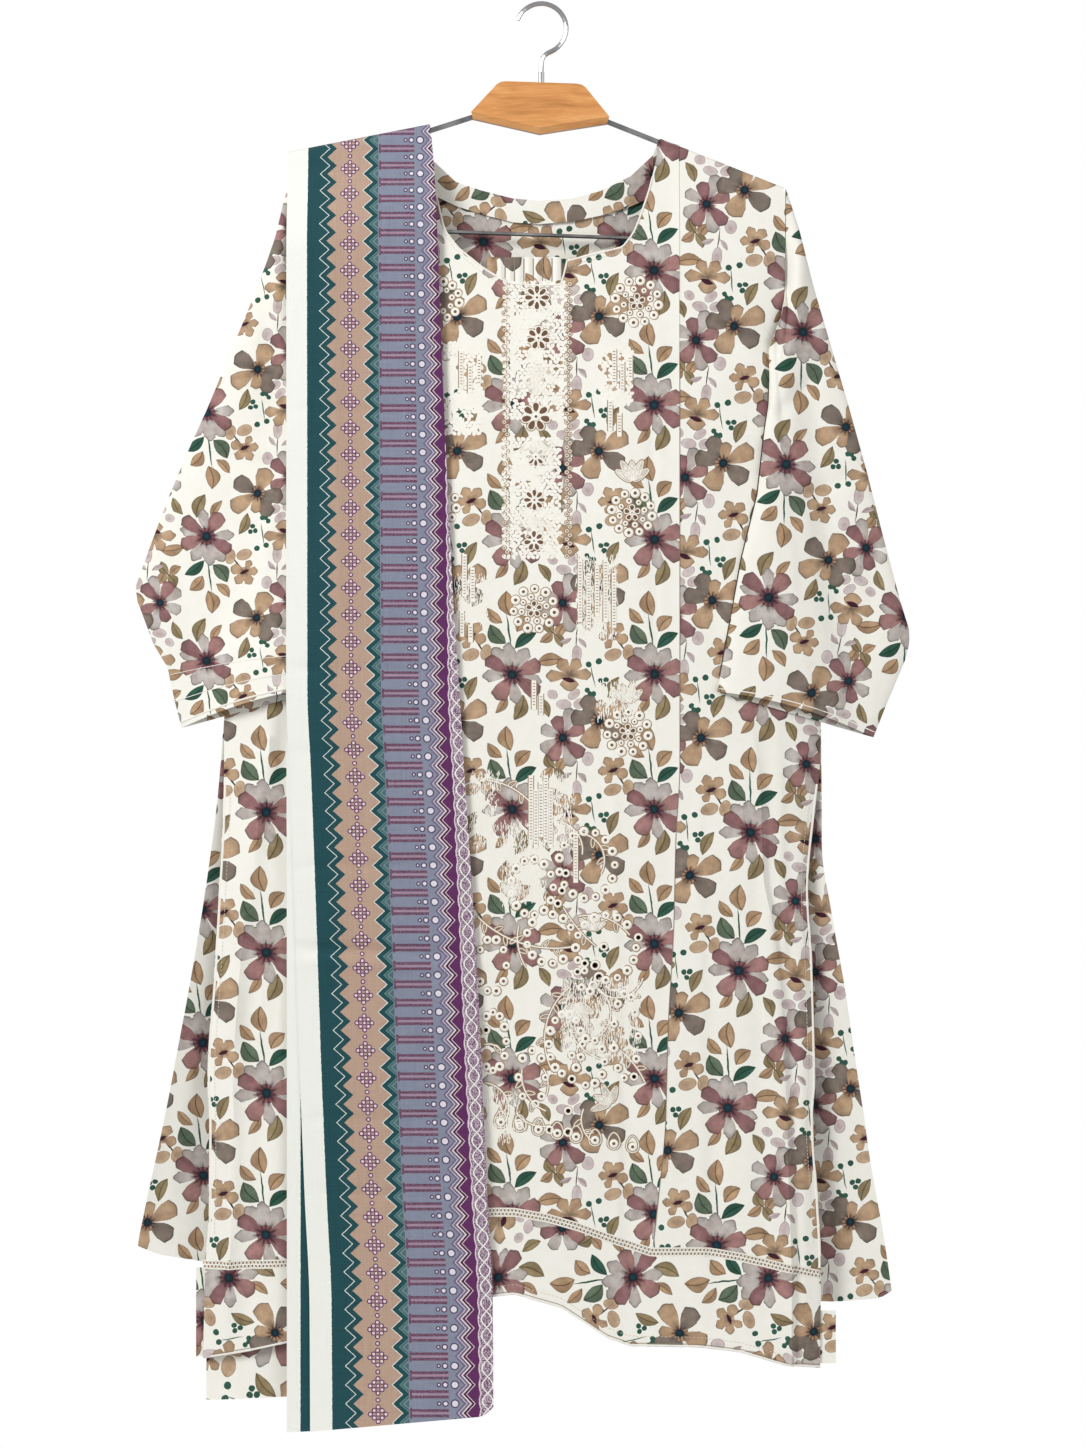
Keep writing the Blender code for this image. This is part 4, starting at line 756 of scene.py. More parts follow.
def brush(kind):
    """A node group that paints a leaf, bud or stem over the colour below it.

    Along and Aside turn Place, in the repeat, into how far along and aside in the
    form it is, each 1 at the form's edge.
    """
    tree = bpy.data.node_groups.new("print_" + kind, "ShaderNodeTree")
    for name, value in (("Below", "Color"), ("Place", "Vector"), ("Along", "Vector"),
                        ("Aside", "Vector"), ("Fill", "Color"), ("Line", "Color")):
        tree.interface.new_socket(name, in_out="INPUT", socket_type="NodeSocket" + value)
    tree.interface.new_socket("Colour", in_out="OUTPUT", socket_type="NodeSocketColor")
    nodes = Nodes(tree)
    given = tree.nodes.new("NodeGroupInput").outputs
    along = nodes.vector("DOT_PRODUCT", given["Place"], given["Along"])
    aside = nodes.vector("DOT_PRODUCT", given["Place"], given["Aside"])
    squared = nodes.math("MULTIPLY", along, along)
    if kind == "leaf":
        aside = nodes.math("MULTIPLY_ADD", squared, 0.42, aside)
    across = nodes.math(*(("MULTIPLY", aside, aside) if kind == "bud" else ("ABSOLUTE", aside)))
    shade, cover = toned(nodes, nodes.math("ADD", squared, across), kind)
    painted = nodes.mix(1.0, given["Fill"], shade, "MULTIPLY")
    if kind == "leaf":
        side = nodes.math("MULTIPLY_ADD", aside, 0.5, 0.5)
        painted = nodes.mix(toned(nodes, side, "rib")[1], painted, given["Line"])
    tree.links.new(nodes.mix(cover, given["Below"], painted),
                   tree.nodes.new("NodeGroupOutput").inputs[0])
    return tree


def print_colour(shader, where):
    """The floral print over cream cotton, from a place in the flat cloth in metres."""
    brushes = {kind: brush(kind) for kind in ("leaf", "bud", "stem")}
    shifted = shader.vector("MULTIPLY_ADD", shader.noise(where, 60.0, 3.0, 0.62),
                            (0.0026, 0.0026, 0.0), where)
    half = np.array([REPEAT_X, REPEAT_Y]) / 2.0
    repeats = [shader.vector("WRAP", shifted, (*(middle + half) * MM, 2.0),
                             (*(middle - half) * MM, 1.0)) for middle in np.array(CLUSTERS)]

    def paint_marks(colour, on_flowers):
        for kind, x, y, long, wide, turn, name in zip(*MARKS.values()):
            if (name == "plum") != on_flowers:
                continue
            cosine, sine = heading(turn)
            cluster, (px, py) = nearest_cluster(x, y)
            node = shader.tree.nodes.new("ShaderNodeGroup")
            node.node_tree = brushes[kind]
            fill = rgb(name)
            line = tuple(0.22 * part for part in fill[:3]) + (1.0,)
            axes = [(a / size / MM, b / size / MM, -(a * px + b * py) / size)
                    for a, b, size in ((cosine, sine, long), (-sine, cosine, wide))]
            for place, value in enumerate((colour, repeats[cluster], *axes, fill, line)):
                shader.put(node.inputs[place], value)
            colour = node.outputs[0]
        return colour

    colour = paint_marks(rgb("cream"), False)
    for name, x, y, rays, eye in list(zip(*FLOWERS.values()))[::-1]:
        cluster, (px, py) = nearest_cluster(x, y)
        place = shader.vector("SUBTRACT", repeats[cluster], (px * MM, py * MM, 1.0))
        colour = paint_flower(shader, colour, place, name, rays, eye)
    colour = paint_marks(colour, True)
    berries = []
    for x, y, radius in zip(*BERRIES.values()):
        cluster, (px, py) = nearest_cluster(x, y)
        berries.append((repeats[cluster], (px * MM, py * MM, 1.0), radius * MM))
    colour = shader.mix(shader.math("LESS_THAN", shader.outside(berries), 0.0), colour,
                        rgb("teal"))
    return shader.mix(0.28, colour, shader.noise(where, 150.0, 4.0, 0.65), "OVERLAY")


def printed_cotton(name):
    shader = Shader(name, Roughness=0.86, Sheen_Weight=0.12, Sheen_Roughness=0.5,
                    Specular_IOR_Level=0.25)
    where = shader.uv()
    wash = shader.cloth_noise(where, (85.0, 70.0, 1.0), 3.0, 0.6)
    colour = shader.mix(0.5, print_colour(shader, where), wash, "OVERLAY")
    colour = shader.add("Gamma", colour, 1.12)
    normal, over = weave_bump(shader, where, 0.0011, 0.35)
    # painted shade: the colour darkens a little where the weave's height is low
    thread = shader.math("MULTIPLY_ADD", over, 0.03, 0.97)
    return shader.finish(shader.mix(1.0, colour, thread, "MULTIPLY"), normal)


def plain_cotton(name, code, other):
    """Undyed or dyed cotton thread or cloth with slubs, from the object's own place."""
    shader = Shader(name, Roughness=0.9, Sheen_Weight=0.15, Sheen_Roughness=0.5,
                    Specular_IOR_Level=0.2)
    where = shader.object_place()
    colour = shader.mix(shader.noise(where, 90.0, 3.0), rgb(code), rgb(other))
    fine = shader.noise(shader.vector("MULTIPLY", where, (1.0, 1.0, 0.35)), 2600.0)
    return shader.finish(colour, shader.bump(fine, 0.5, 0.0003))


# The dupatta's bands. Places are millimetres from its folded edge.
SELVAGE, COMB, SCALLOPS = 18.9, 84.5, 144.8     # where the plain edge, the comb and the lace start
LEFT_CHEVRONS = table("start colour", """0 deep_teal, 33.6 mint, 35.1 deep_teal, 41 sand,
    73.5 mint, 75 deep_teal, 79.8 sage, 80.9 dusk, 83.2 sage, 84.4 dusk""")
RIGHT_CHEVRONS = table("start colour", """0 slate, 127 heather, 129 pink, 130.1 heather,
    132.6 pink, 133.7 wine, 136.2 pink, 137.3 violet""")
BEAT, BEAT_FROM = 16.1, 15.3                    # one chevron along the cloth
CHEVRON = 17.6                                  # how far across a chevron reaches
CHAIN_BEAT, CHAIN_FROM, CHAIN = 24.1, 10.7, 58.0     # the medallions' beat and their place
CHAIN_BEADS = ((0.0, 0.0, 1.5), (3.4, 3.1, 1.6), (6.6, 0.0, 1.6), (0.0, 6.2, 1.6),
               (0.0, CHAIN_BEAT / 2.0, 1.5))
COMB_BEADS = ((110.0, 0.0, 1.2), (115.4, 0.0, 2.0), (123.6, 0.0, 3.0))
WIDEST = 200.0                                  # the ramps of stripes end here
LACE_TURN, LACE_MIDDLE, LACE_SWING = 28.0, 151.5, 4.4
END_DROP = 1280.0                               # about where the dupatta ends
GROWTH, FIRST = 0.1, 0.95      # the bands widen this much down the cloth, from this scale


def dupatta_bands(name):
    shader = Shader(name, Roughness=0.78, Sheen_Weight=0.2, Sheen_Roughness=0.4,
                    Specular_IOR_Level=0.3)
    where = shader.uv()
    ragged = shader.cloth_noise(where, (500.0, 500.0, 1.0), 1.0)
    parts = shader.add("SeparateXYZ", shader.vector("MULTIPLY", where, (1000.0, 1000.0, 0.0)))
    u = shader.math("MULTIPLY_ADD", ragged, 0.8, shader.math("SUBTRACT", parts, 0.4))
    v = parts.node.outputs[1]
    beat = shader.math("PINGPONG", shader.math("ADD", v, BEAT_FROM), BEAT / 2.0)
    wave = shader.math("MULTIPLY_ADD", beat, CHEVRON / BEAT, -CHEVRON / 4.0)

    def stripes(place, rows):
        stops = [(start / WIDEST, rgb(colour)) for start, colour in zip(*rows.values())]
        return shader.ramp(shader.math("DIVIDE", place, WIDEST), stops, "CONSTANT")[0]

    def both(mask, *others):
        for other in others:
            mask = shader.math("MULTIPLY", mask, other)
        return mask

    def near(place, middle, reach):
        return shader.math("COMPARE", place, middle, reach)

    def paint(mask, code):
        nonlocal colour
        colour = shader.mix(mask, colour, rgb(code))

    def beads(across, along, rows, rim, line, fill):
        spot = shader.add("CombineXYZ", across, along)
        nearest = shader.outside([(spot, (x, y, 0.0), radius) for x, y, radius in rows])
        paint(shader.math("LESS_THAN", nearest, rim), line)
        paint(shader.math("LESS_THAN", nearest, -0.35), fill)

    left = stripes(shader.math("SUBTRACT", u, wave), LEFT_CHEVRONS)
    right = stripes(shader.math("MULTIPLY_ADD", wave, 0.84, u), RIGHT_CHEVRONS)
    colour = shader.mix(shader.math("LESS_THAN", u, COMB), right, left)
    paint(shader.math("LESS_THAN", u, SELVAGE), "mint")
    speckled = shader.cloth_noise(where, (900.0, 2200.0, 1.0), 1.0)
    mottled = shader.math("GREATER_THAN", speckled, 0.42)
    from_bar = shader.math("SUBTRACT", BEAT / 2.0, beat)
    comb = near(u, 101.6, 16.6)
    paint(both(comb, near(from_bar, 2.3, 1.2), mottled), "6A3350")
    paint(both(comb, near(from_bar, 0.0, 0.6), mottled), "B88399")
    paint(both(near(u, 86.0, 0.9), near(from_bar, 0.0, 4.6), mottled), "6A3350")
    beads(u, beat, COMB_BEADS, 0.7, "4E3358", "E4DFE8")
    chain = shader.math("PINGPONG", shader.math("ADD", v, CHAIN_FROM), CHAIN_BEAT / 2.0)
    aside = shader.math("ABSOLUTE", shader.math("SUBTRACT", u, CHAIN))
    beads(aside, chain, CHAIN_BEADS, 0.62, "violet", "E6D5DA")
    speck = shader.cloth_noise(where, (650.0, 520.0, 1.0), 2.0, 0.7)
    lace = shader.math("GREATER_THAN", u, SCALLOPS)
    paint(both(lace, near(speck, 0.5, 0.035)), "pink")
    turn = shader.math("SINE", shader.math("MULTIPLY", v, math.tau / LACE_TURN))
    for reach in (LACE_SWING, -LACE_SWING):
        swung = shader.math("MULTIPLY_ADD", turn, reach, u)
        paint(both(lace, near(swung, LACE_MIDDLE, 0.6)), "mint")
    bowed = shader.math("MULTIPLY_ADD", shader.math("ABSOLUTE", turn), 1.3, u)
    paint(near(bowed, SCALLOPS + 0.9, 0.5), "pink")
    normal = weave_bump(shader, where, 0.0009, 0.4)[0]
    for part, scale in ((0.3, (1500.0, 22.0, 1.0)), (0.25, (60.0, 1100.0, 1.0))):
        colour = shader.mix(part, colour, shader.cloth_noise(where, scale), "SOFT_LIGHT")
    return shader.finish(colour, normal)


def chrome(name, roughness, tint):
    shader = Shader(name, Metallic=1.0, Specular_IOR_Level=0.5)
    where = shader.object_place()
    colour = shader.mix(shader.noise(where, 40.0), rgb(tint), rgb("F2F3F5"))
    rough = shader.math("MULTIPLY_ADD", shader.noise(where, 900.0, 3.0), 0.08, roughness)
    return shader.finish(colour, shader.bump(shader.noise(where, 1800.0), 0.05, 0.0002), rough)


def varnished_wood(name):
    shader = Shader(name, Roughness=0.38, Coat_Weight=0.45, Coat_Roughness=0.12)
    where = shader.object_place()
    along = shader.vector("MULTIPLY_ADD", where, (9.0, 60.0, 120.0), shader.noise(where, 14.0))
    grain = shader.noise(along, 1.0, 5.0, 0.6)
    pores = shader.cloth_noise(where, (90.0, 900.0, 900.0))
    colour = shader.ramp(grain, [(0.3, rgb("C07F40")), (0.48, rgb("DF9A56")),
                                 (0.6, rgb("EAAA69")), (0.8, rgb("D08C4E"))])[0]
    return shader.finish(shader.mix(0.25, colour, pores, "OVERLAY"),
                         shader.bump(pores, 0.12, 0.0002))


COTTON = printed_cotton("printed_cotton")
LACE = plain_cotton("lace_cotton", "FDFBF3", "F5F0E4")
THREAD = plain_cotton("cream_thread", "FDFBF4", "F6F1E4")
# painted shade beside the raised threads and between the lace's rings
TAN_SHADE = plain_cotton("tan_painted_shade", "AD9272", "8F765A")
# painted shade where holes of the embroidery would show dark
DARK_SHADE = plain_cotton("painted_hole_shade", "86664F", "5C4536")
DUPATTA_CLOTH = dupatta_bands("dupatta_cotton")
CHROME = chrome("dark_chrome", 0.2, "0B0B0D")

for node, made in (("hanger_hook", chrome("polished_wire", 0.14, "9A9CA0")),
                   ("hanger_ferrule", chrome("ferrule_metal", 0.24, "C9C9C9")),
                   ("hanger_block", varnished_wood("varnished_maple")),
                   ("hanger_arm_left", CHROME), ("hanger_arm_right", CHROME),
                   ("hanger_bar", CHROME)):
    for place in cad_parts[node].material_slots:
        place.material = made


# ---------------------------------------------------------------- the kameez

def laid(x, drop, turn=0.0, scale=1.0):
    """How a piece is cut from the print, whose large flower is put at x, drop."""
    cosine, sine = heading(turn, scale)

    def lay(xs, drops):
        across, up = xs - x, drop - drops
        return np.stack([across * cosine + up * sine, up * cosine - across * sine], -1)

    return lay


def down(place_x, depth, side, top, bottom, rows, first=0, lift=0.0, power=1.0):
    """Points down a cloth, on the side of the hanger's plane that side says."""
    points = []
    for k in range(first, rows + 1):
        drop = blend(top, bottom, (k / rows) ** power)
        x = place_x(drop)
        points.append((x, side * (depth(x, drop) + lift), -drop))
    return points


def meeting(line, place_x):
    """Drop at which a column meets a line across the garment."""
    drop = line["drop"][0]
    for _ in range(4):
        drop = straight(line, place_x(drop))
    return drop


def column(top, neckline, place_x, lower, depth, side, rows, lift=0.0):
    """One column of the body, over an arm or from the neckline, down to a lower line."""
    if top < neckline["x"][0] or top > neckline["x"][-1]:
        lean = math.cos(math.atan(ARM_SLOPE))
        inside = max(0.0, min(top - NECK_LEFT, NECK_RIGHT - top))
        first = blend(0.04, math.pi / 2.0, inside / NECK_ROUND)
        start, reach = arm_drop(top), ON_ARM + lift
        points = [(top, side * reach * math.sin(turn), -start + reach / lean * math.cos(turn))
                  for turn in steps(first, math.pi / 2.0, ARM_BEND)]
    else:
        neck = straight(neckline, top)
        start = neck + NECK_STRIP
        points = down(lambda drop: top, depth, side, neck, start, NECK_ROWS, lift=lift)
    return points + down(place_x, depth, side, start, meeting(lower, place_x), rows, 1, lift,
                         ROW_GROWTH)


def cloth(name, columns, folds, side, lay, node, material=COTTON, thickness=SHELL):
    """A shell on columns of points, with soft folds added if there are any."""
    grid = np.array([list(row) for row in zip(*columns)], float)
    if folds:
        x, drop = grid[..., 0], -grid[..., 2]
        ease = np.clip((drop - FOLDS_FROM) / FOLDS_EASE, 0.0, 1.0)
        grid[..., 1] += side * crease(folds, x, drop) * ease
    return shell(name, grid, lay, material, node, thickness)


def spread(low, high, pitch, *kept):
    """Places from low to high about pitch apart, with some kept exactly."""
    count = max(1, round((high - low) / pitch))
    inner = [x for x in steps(low, high, count)
             if all(abs(x - k) > pitch * 0.35 for k in kept) or x in (low, high)]
    return sorted(set(inner) | set(k for k in kept if low <= k <= high))


def across_front(across):
    """A place down the middle panel."""
    return between((FRONT_SEAMS, "left"), (FRONT_SEAMS, "right"), across)


def side_columns(side):
    """A side panel's columns: x as each goes down, from left to right."""
    seam, pleat, edge = ((rows, "left" if side < 0 else "right")
                         for rows in (FRONT_SEAMS, PLEATS, FRONT_SIDES))
    places = [between(seam, pleat, across) for across in steps(0.0, 1.0, SEAM_TO_PLEAT)]
    places += [between(pleat, edge, across) for across in steps(0.02, 1.0, PLEAT_TO_EDGE)]
    return places[::side]


def build_front_centre():
    columns, edge = [], SEAM_TOP_X + LAP_PAST
    for top in spread(-edge, edge, CENTRE_PITCH, *NECK_TOPS, *FRONT_NECKLINE["x"]):
        place_x = across_front((top + SEAM_TOP_X) / (2.0 * SEAM_TOP_X))
        lift = LAP * max(0.0, 1.0 - (edge - abs(top)) / LAP_WIDE)
        columns.append(column(top, FRONT_NECKLINE, place_x, LACE_LINE, dressed_front, -1,
                              CENTRE_ROWS, lift))
    return cloth("front_centre", columns, FRONT_FOLDS, -1, laid(102.6, 359.1),
                 "kameez_front_centre")


def pierce(piece):
    """Cuts the eyelets through."""
    cutters = Threads()
    for x, drop, diameter in zip(*EYELETS.values()):
        ring = [round_place(x, -drop, diameter / 2.0, turn) for turn in circle(14)]
        cutters.skin([[(px, y, pz) for px, pz in ring] for y in (-40.0, 0.0)])
    mesh = bpy.data.meshes.new("cutter")
    mesh.from_pydata(np.asarray(cutters.points) * MM, [], cutters.faces)
    turned = bmesh.new()
    turned.from_mesh(mesh)
    bmesh.ops.recalc_face_normals(turned, faces=turned.faces)
    turned.to_mesh(mesh)
    turned.free()
    cutter = linked("cutter", mesh)
    cut = piece.modifiers.new("cut", "BOOLEAN")
    cut.operation, cut.solver, cut.object = "DIFFERENCE", "EXACT", cutter
    bpy.context.view_layer.update()
    evaluated = piece.evaluated_get(bpy.context.evaluated_depsgraph_get())
    result = bpy.data.meshes.new_from_object(evaluated)
    piece.modifiers.clear()
    piece.data = result
    bpy.data.objects.remove(cutter)


def build_front_side(name, side, lay, node):
    columns = [column(place_x(0.0), FRONT_NECKLINE, place_x, LACE_LINE, dressed_front, -1,
                      SIDE_ROWS) for place_x in side_columns(side)]
    return cloth(name, columns, FRONT_FOLDS, -1, lay, node)


def build_border():
    middle = [across_front(k / BORDER_ACROSS) for k in range(1, BORDER_ACROSS)]
    columns = [down(place_x, dressed_front, -1, meeting(LACE_LINE, place_x) + LACE_HEIGHT,
                    meeting(BORDER_HEM, place_x), BORDER_ROWS)
               for place_x in side_columns(-1) + middle + side_columns(1)]
    return cloth("front_border", columns, FRONT_FOLDS, -1, laid(-160.0, 1140.0, 90.0),
                 "kameez_front_border")


def build_back():
    left, right = BACK_SIDES["left"][0], BACK_SIDES["right"][0]
    columns = []
    for top in spread(left, right, BACK_PITCH, *NECK_TOPS, *BACK_NECKLINE["x"]):
        place_x = between((BACK_SIDES, "left"), (BACK_SIDES, "right"),
                          (top - left) / (right - left))
        columns.append(column(top, BACK_NECKLINE, place_x, BACK_HEM, dressed_back, 1, BACK_ROWS))
    return cloth("back", columns, BACK_FOLDS, 1, laid(-304.2, 932.4), "kameez_back")


def build_facing():
    columns = [down(lambda drop, x=x: x, back_depth, 1, straight(BACK_NECKLINE, x),
                    straight(BACK_NECKLINE, x, "facing"), FACING_ROWS, lift=-FACING_STEP)
               for x in spread(FACING_LEFT, FACING_RIGHT, BACK_PITCH, *BACK_NECKLINE["x"][1:-1])]
    return cloth("neck_facing", columns, None, 1, laid(-20.0, 150.0, 90.0),
                 "kameez_neck_facing")


def build_tucks():
    columns = []
    for i, x in enumerate(steps(TUCKS_LEFT, TUCKS_RIGHT, TUCKS * TUCK_STEPS)):
        bottom = straight(FRONT_NECKLINE, x) + TUCKS_FOOT
        raised = TUCK_HEIGHT * (1.0 - math.cos(math.tau * i / TUCK_STEPS)) / 2.0
        columns.append([(x, -(front_depth(x, drop) + raised - TUCKS_SUNK * part ** 4), -drop)
                        for part, drop in zip(steps(0.0, 1.0, TUCK_ROWS),
                                              steps(TUCKS_TOP, bottom, TUCK_ROWS))])
    return cloth("neck_tucks", columns, None, -1, laid(10.0, 300.0),
                 "kameez_neck_tucks")


def build_turnback(name, row, lay, node):
    inside, outside, top, bottom, behind = list(zip(*TURNBACKS.values()))[row]

    def depth(x, drop):
        left, right = side_edges(FRONT_SIDES, drop)
        return front_depth(min(max(x, left), right), drop)

    columns = [down(lambda drop, x=x: x, depth, -1, top, bottom, TURNBACK_ROWS, lift=-behind)
               for x in steps(inside, outside, TURNBACK_ACROSS)]
    return cloth(name, columns, None, -1, lay, node)


def build_sleeve(name, side, outer_fold, inner_fold, folds, lay, node):
    first, last = along_path(outer_fold, 0.0), along_path(inner_fold, 0.0)
    rings = []
    for along in steps(0.0, 1.0, SLEEVE_RINGS):
        outer, inner = along_path(outer_fold, along), along_path(inner_fold, along)
        released = smoothstep(along / SLEEVE_SET)
        front, back = [], []
        for turn in steps(0.0, math.pi, SLEEVE_SIDE):
            across = (1.0 - math.cos(turn)) / 2.0
            x, drop = blend(outer[0], inner[0], across), blend(outer[1], inner[1], across)
            x += armhole_bulge(side, first, last, across) * (1.0 - released)
            edge_x = read(FRONT_SIDES, "left" if side < 0 else "right", drop)
            beyond = side * (x - edge_x)
            in_front = blend(smoothstep((across - SLEEVE_TURN_FROM) / SLEEVE_TURN),
                             1.0 - smoothstep((beyond - SLEEVE_SWING_FROM) / SLEEVE_SWING),
                             released)
            if in_front < 0.99:
                x = edge_x + side * max(SLEEVE_BESIDE, beyond)
            half_depth = max(SLEEVE_THIN, read(SLEEVE_DEPTH, "half_depth", along) * lens(across))
            y = blend(half_depth, -(front_depth(x, drop) + SLEEVE_CLEARANCE), in_front)
            bow = 4.0 * across * (1.0 - across) * smoothstep(4.0 * along - 3.0)
            front.append((x, y - 2.0 * half_depth, -drop + SLEEVE_HEM_LIFT * bow))
            back.append((x, y, -drop))
        rings.append(front + back[::-1][1:-1])
    grid = np.array(rings, float)
    face = slice(1, SLEEVE_SIDE)
    ease = np.sin(np.linspace(0.0, math.pi, SLEEVE_SIDE + 1))[face] ** 0.5
    grid[:, face, 1] -= crease(folds, grid[:, face, 0], -grid[:, face, 2]) * ease
    return shell(name, grid, lay, COTTON, node, closed=True)


# ---------------------------------------------------------------- dupatta and trousers

def band_lay(rows):
    """The dupatta's flat cloth: across from its folded edge, and down; its bands widen."""
    def lay(xs, drops):
        edge = np.array([read(rows, "left", drop) for drop in drops])
        part = GROWTH / END_DROP
        scale = FIRST + part * drops
        return np.stack([(xs - edge) / scale, -np.log(scale / FIRST) / part], -1)

    return lay


def build_dupatta(name, rows, hem, side, node):
    """One drop of the dupatta, from its bend over the shoulder."""
    columns = []
    for across in steps(0.0, 1.0, DUPATTA_ACROSS):
        place_x = between((rows, "left"), (rows, "right"), across)
        x_top = blend(rows["left"][0], rows["right"][0], across)
        crest = dupatta_crest(x_top) + FOLDED_CLOTH / 2.0
        bend = [(x_top, side * DUPATTA_ARCH * math.sin(turn),
                 -(crest + DUPATTA_ARCH * (1.0 - math.cos(turn))))
                for turn in steps(0.02, math.pi / 2.0, DUPATTA_BEND)]
        bottom = straight(hem, place_x(hem["drop"][-1]))
        if side < 0:
            bottom -= DUPATTA_CORNER * max(0.0, (across - CORNER_FROM) / (1.0 - CORNER_FROM)) ** 2
        columns.append(bend + down(
            place_x, lambda x, drop: dupatta_depth(rows, across, x, drop), side,
            crest + DUPATTA_ARCH, bottom, DUPATTA_ROWS, 1))
    return cloth(name, columns, CROSS_FOLDS, side, band_lay(rows), node, DUPATTA_CLOTH, 1.2)


def build_under():
    """The lower layer of the front drop, seen at its left."""
    def depth(x, drop):
        left, right = side_edges(DUPATTA, drop)
        return dupatta_depth(DUPATTA, max(0.0, (x - left) / (right - left)), x, drop)

    def lay(xs, drops):
        return np.stack([xs - UNDER_LEFT + UNDER_SHOWN, -drops], -1)

    columns = [down(lambda drop, x=x: x, depth, -1, UNDER_TOP, straight(DUPATTA_HEM, x),
                    UNDER_ROWS, lift=-DUPATTA_LAYER)
               for x in steps(UNDER_LEFT, UNDER_RIGHT, UNDER_ACROSS)]
    return cloth("dupatta_under", columns, CROSS_FOLDS, -1, lay,
                 "dupatta_front_under", DUPATTA_CLOTH, 1.0)


def build_leg(name, side, node):
    rings = []
    top, bottom = LEGS["drop"][0], LEGS["drop"][-1]
    for level_drop in steps(top, bottom, LEG_RINGS):
        left, right, half_depth, middle = (
            read(LEGS, key, level_drop) for key in ("left", "right", "half_depth", "between"))
        front, back = [], []
        for turn in steps(0.0, math.pi, LEG_SIDE):
            across = (1.0 - math.cos(turn)) / 2.0
            x, drop = blend(left, right, across), level_drop
            if level_drop == bottom:
                drop = straight(LEG_HEM, x)
            if level_drop == top:
                drop = bar_drop(x) + BAND_FRONT + 0.1
            near = middle + side * (GAP / 2.0 + TROUSER_CLOTH / 2.0)
            far = near + side * 2.0 * max(LEG_THIN, half_depth * lens(across))
            front.append((x, min(near, far), -drop))
            back.append((x, max(near, far), -drop))
        rings.append(front + back[::-1][1:-1])
    return shell(name, rings, laid(-240.0, 1190.0, 62.0, 0.8), COTTON, node, 0.5,
                 closed=True)


def build_waistband():
    middle = BAR_RADIUS + GAP + BAND_THICKNESS / 2.0
    front, bend, back = BAND_STEPS
    profile = [(-middle, -BAND_FRONT * (1.0 - k / front)) for k in range(front)]
    profile += [(-middle * math.cos(turn), middle * math.sin(turn))
                for turn in steps(0.0, math.pi, bend)]
    profile += [(middle, -BAND_BACK * (k / back)) for k in range(1, back + 1)]
    columns = [[(x, y, -bar_drop(x) + z) for y, z in profile]
               for x in steps(BAND_LEFT, BAND_RIGHT, BAND_ACROSS)]
    return cloth("waistband", columns, None, -1, laid(-140.0, 230.0, 90.0),
                 "trousers_waistband", thickness=3.6)


# ---------------------------------------------------------------- embroidery

def surface(pieces):
    """A tree that finds the front's outer surface."""
    points, faces = [], []
    for piece in pieces:
        start = len(points)
        points += [vertex.co.copy() for vertex in piece.data.vertices]
        faces += [[start + k for k in face.vertices] for face in piece.data.polygons]
    return BVHTree.FromPolygons(points, faces)


def on_cloth(x, drop, lift=0.0):
    """A point on the front's outer surface, lifted off it."""
    hit = FRONT.ray_cast(Vector((x, -200.0, -drop)) * MM, Vector((0.0, 1.0, 0.0)))[0]
    return x, (hit.y / MM if hit else -front_depth(x, drop)) - lift, -drop


def on_front(x, drop, lift=0.0):
    """A point on the front's middle surface, lifted off it."""
    fold = float(crease(FRONT_FOLDS, np.array([x]), np.array([drop]))[0])
    return x, -(dressed_front(x, drop) + fold + lift), -drop


def shows(x, drop):
    """Whether the dupatta leaves this place of the front bare."""
    return x > read(DUPATTA, "right", drop) + 1.5


def oval(x, drop, long, wide, turn=0.0, count=12, egg=0.0):
    """Places round an oval; egg narrows the end it starts from."""
    cosine, sine = heading(turn)
    places = []
    for angle in circle(count):
        along = long * math.cos(angle)
        aside = wide * math.sin(angle) * (1.0 + egg * math.cos(angle))
        places.append((x + along * cosine - aside * sine, drop - along * sine - aside * cosine))
    return places


# Radii of the raised threads.
PETAL_THREAD, LEAF_THREAD, STITCH_THREAD, STEM_THREAD, RUNG_THREAD = 0.62, 0.45, 0.42, 0.75, 0.36
BAR_THREAD, BAR_SIDE = 2.1, 1.75           # a ladder's bar, and its edges beside the middle
LINE_EDGE = 1.2           # how far the darker painted shade reaches beside a raised line
EDGE_HEIGHT = 0.16
STITCH_PITCH = 1.1        # along a leaf
RUNG_PITCH = 2.7          # along a ladder
LACE_ACROSS, LACE_DOWN = 4.3, 3.1          # from oval to oval
STITCH_ROOM = 3.0         # square millimetres of ground for each stitch
STEM_STEP, LEAF_STEP = 3.5, 11.0           # along a stem: its own steps, from leaf to leaf


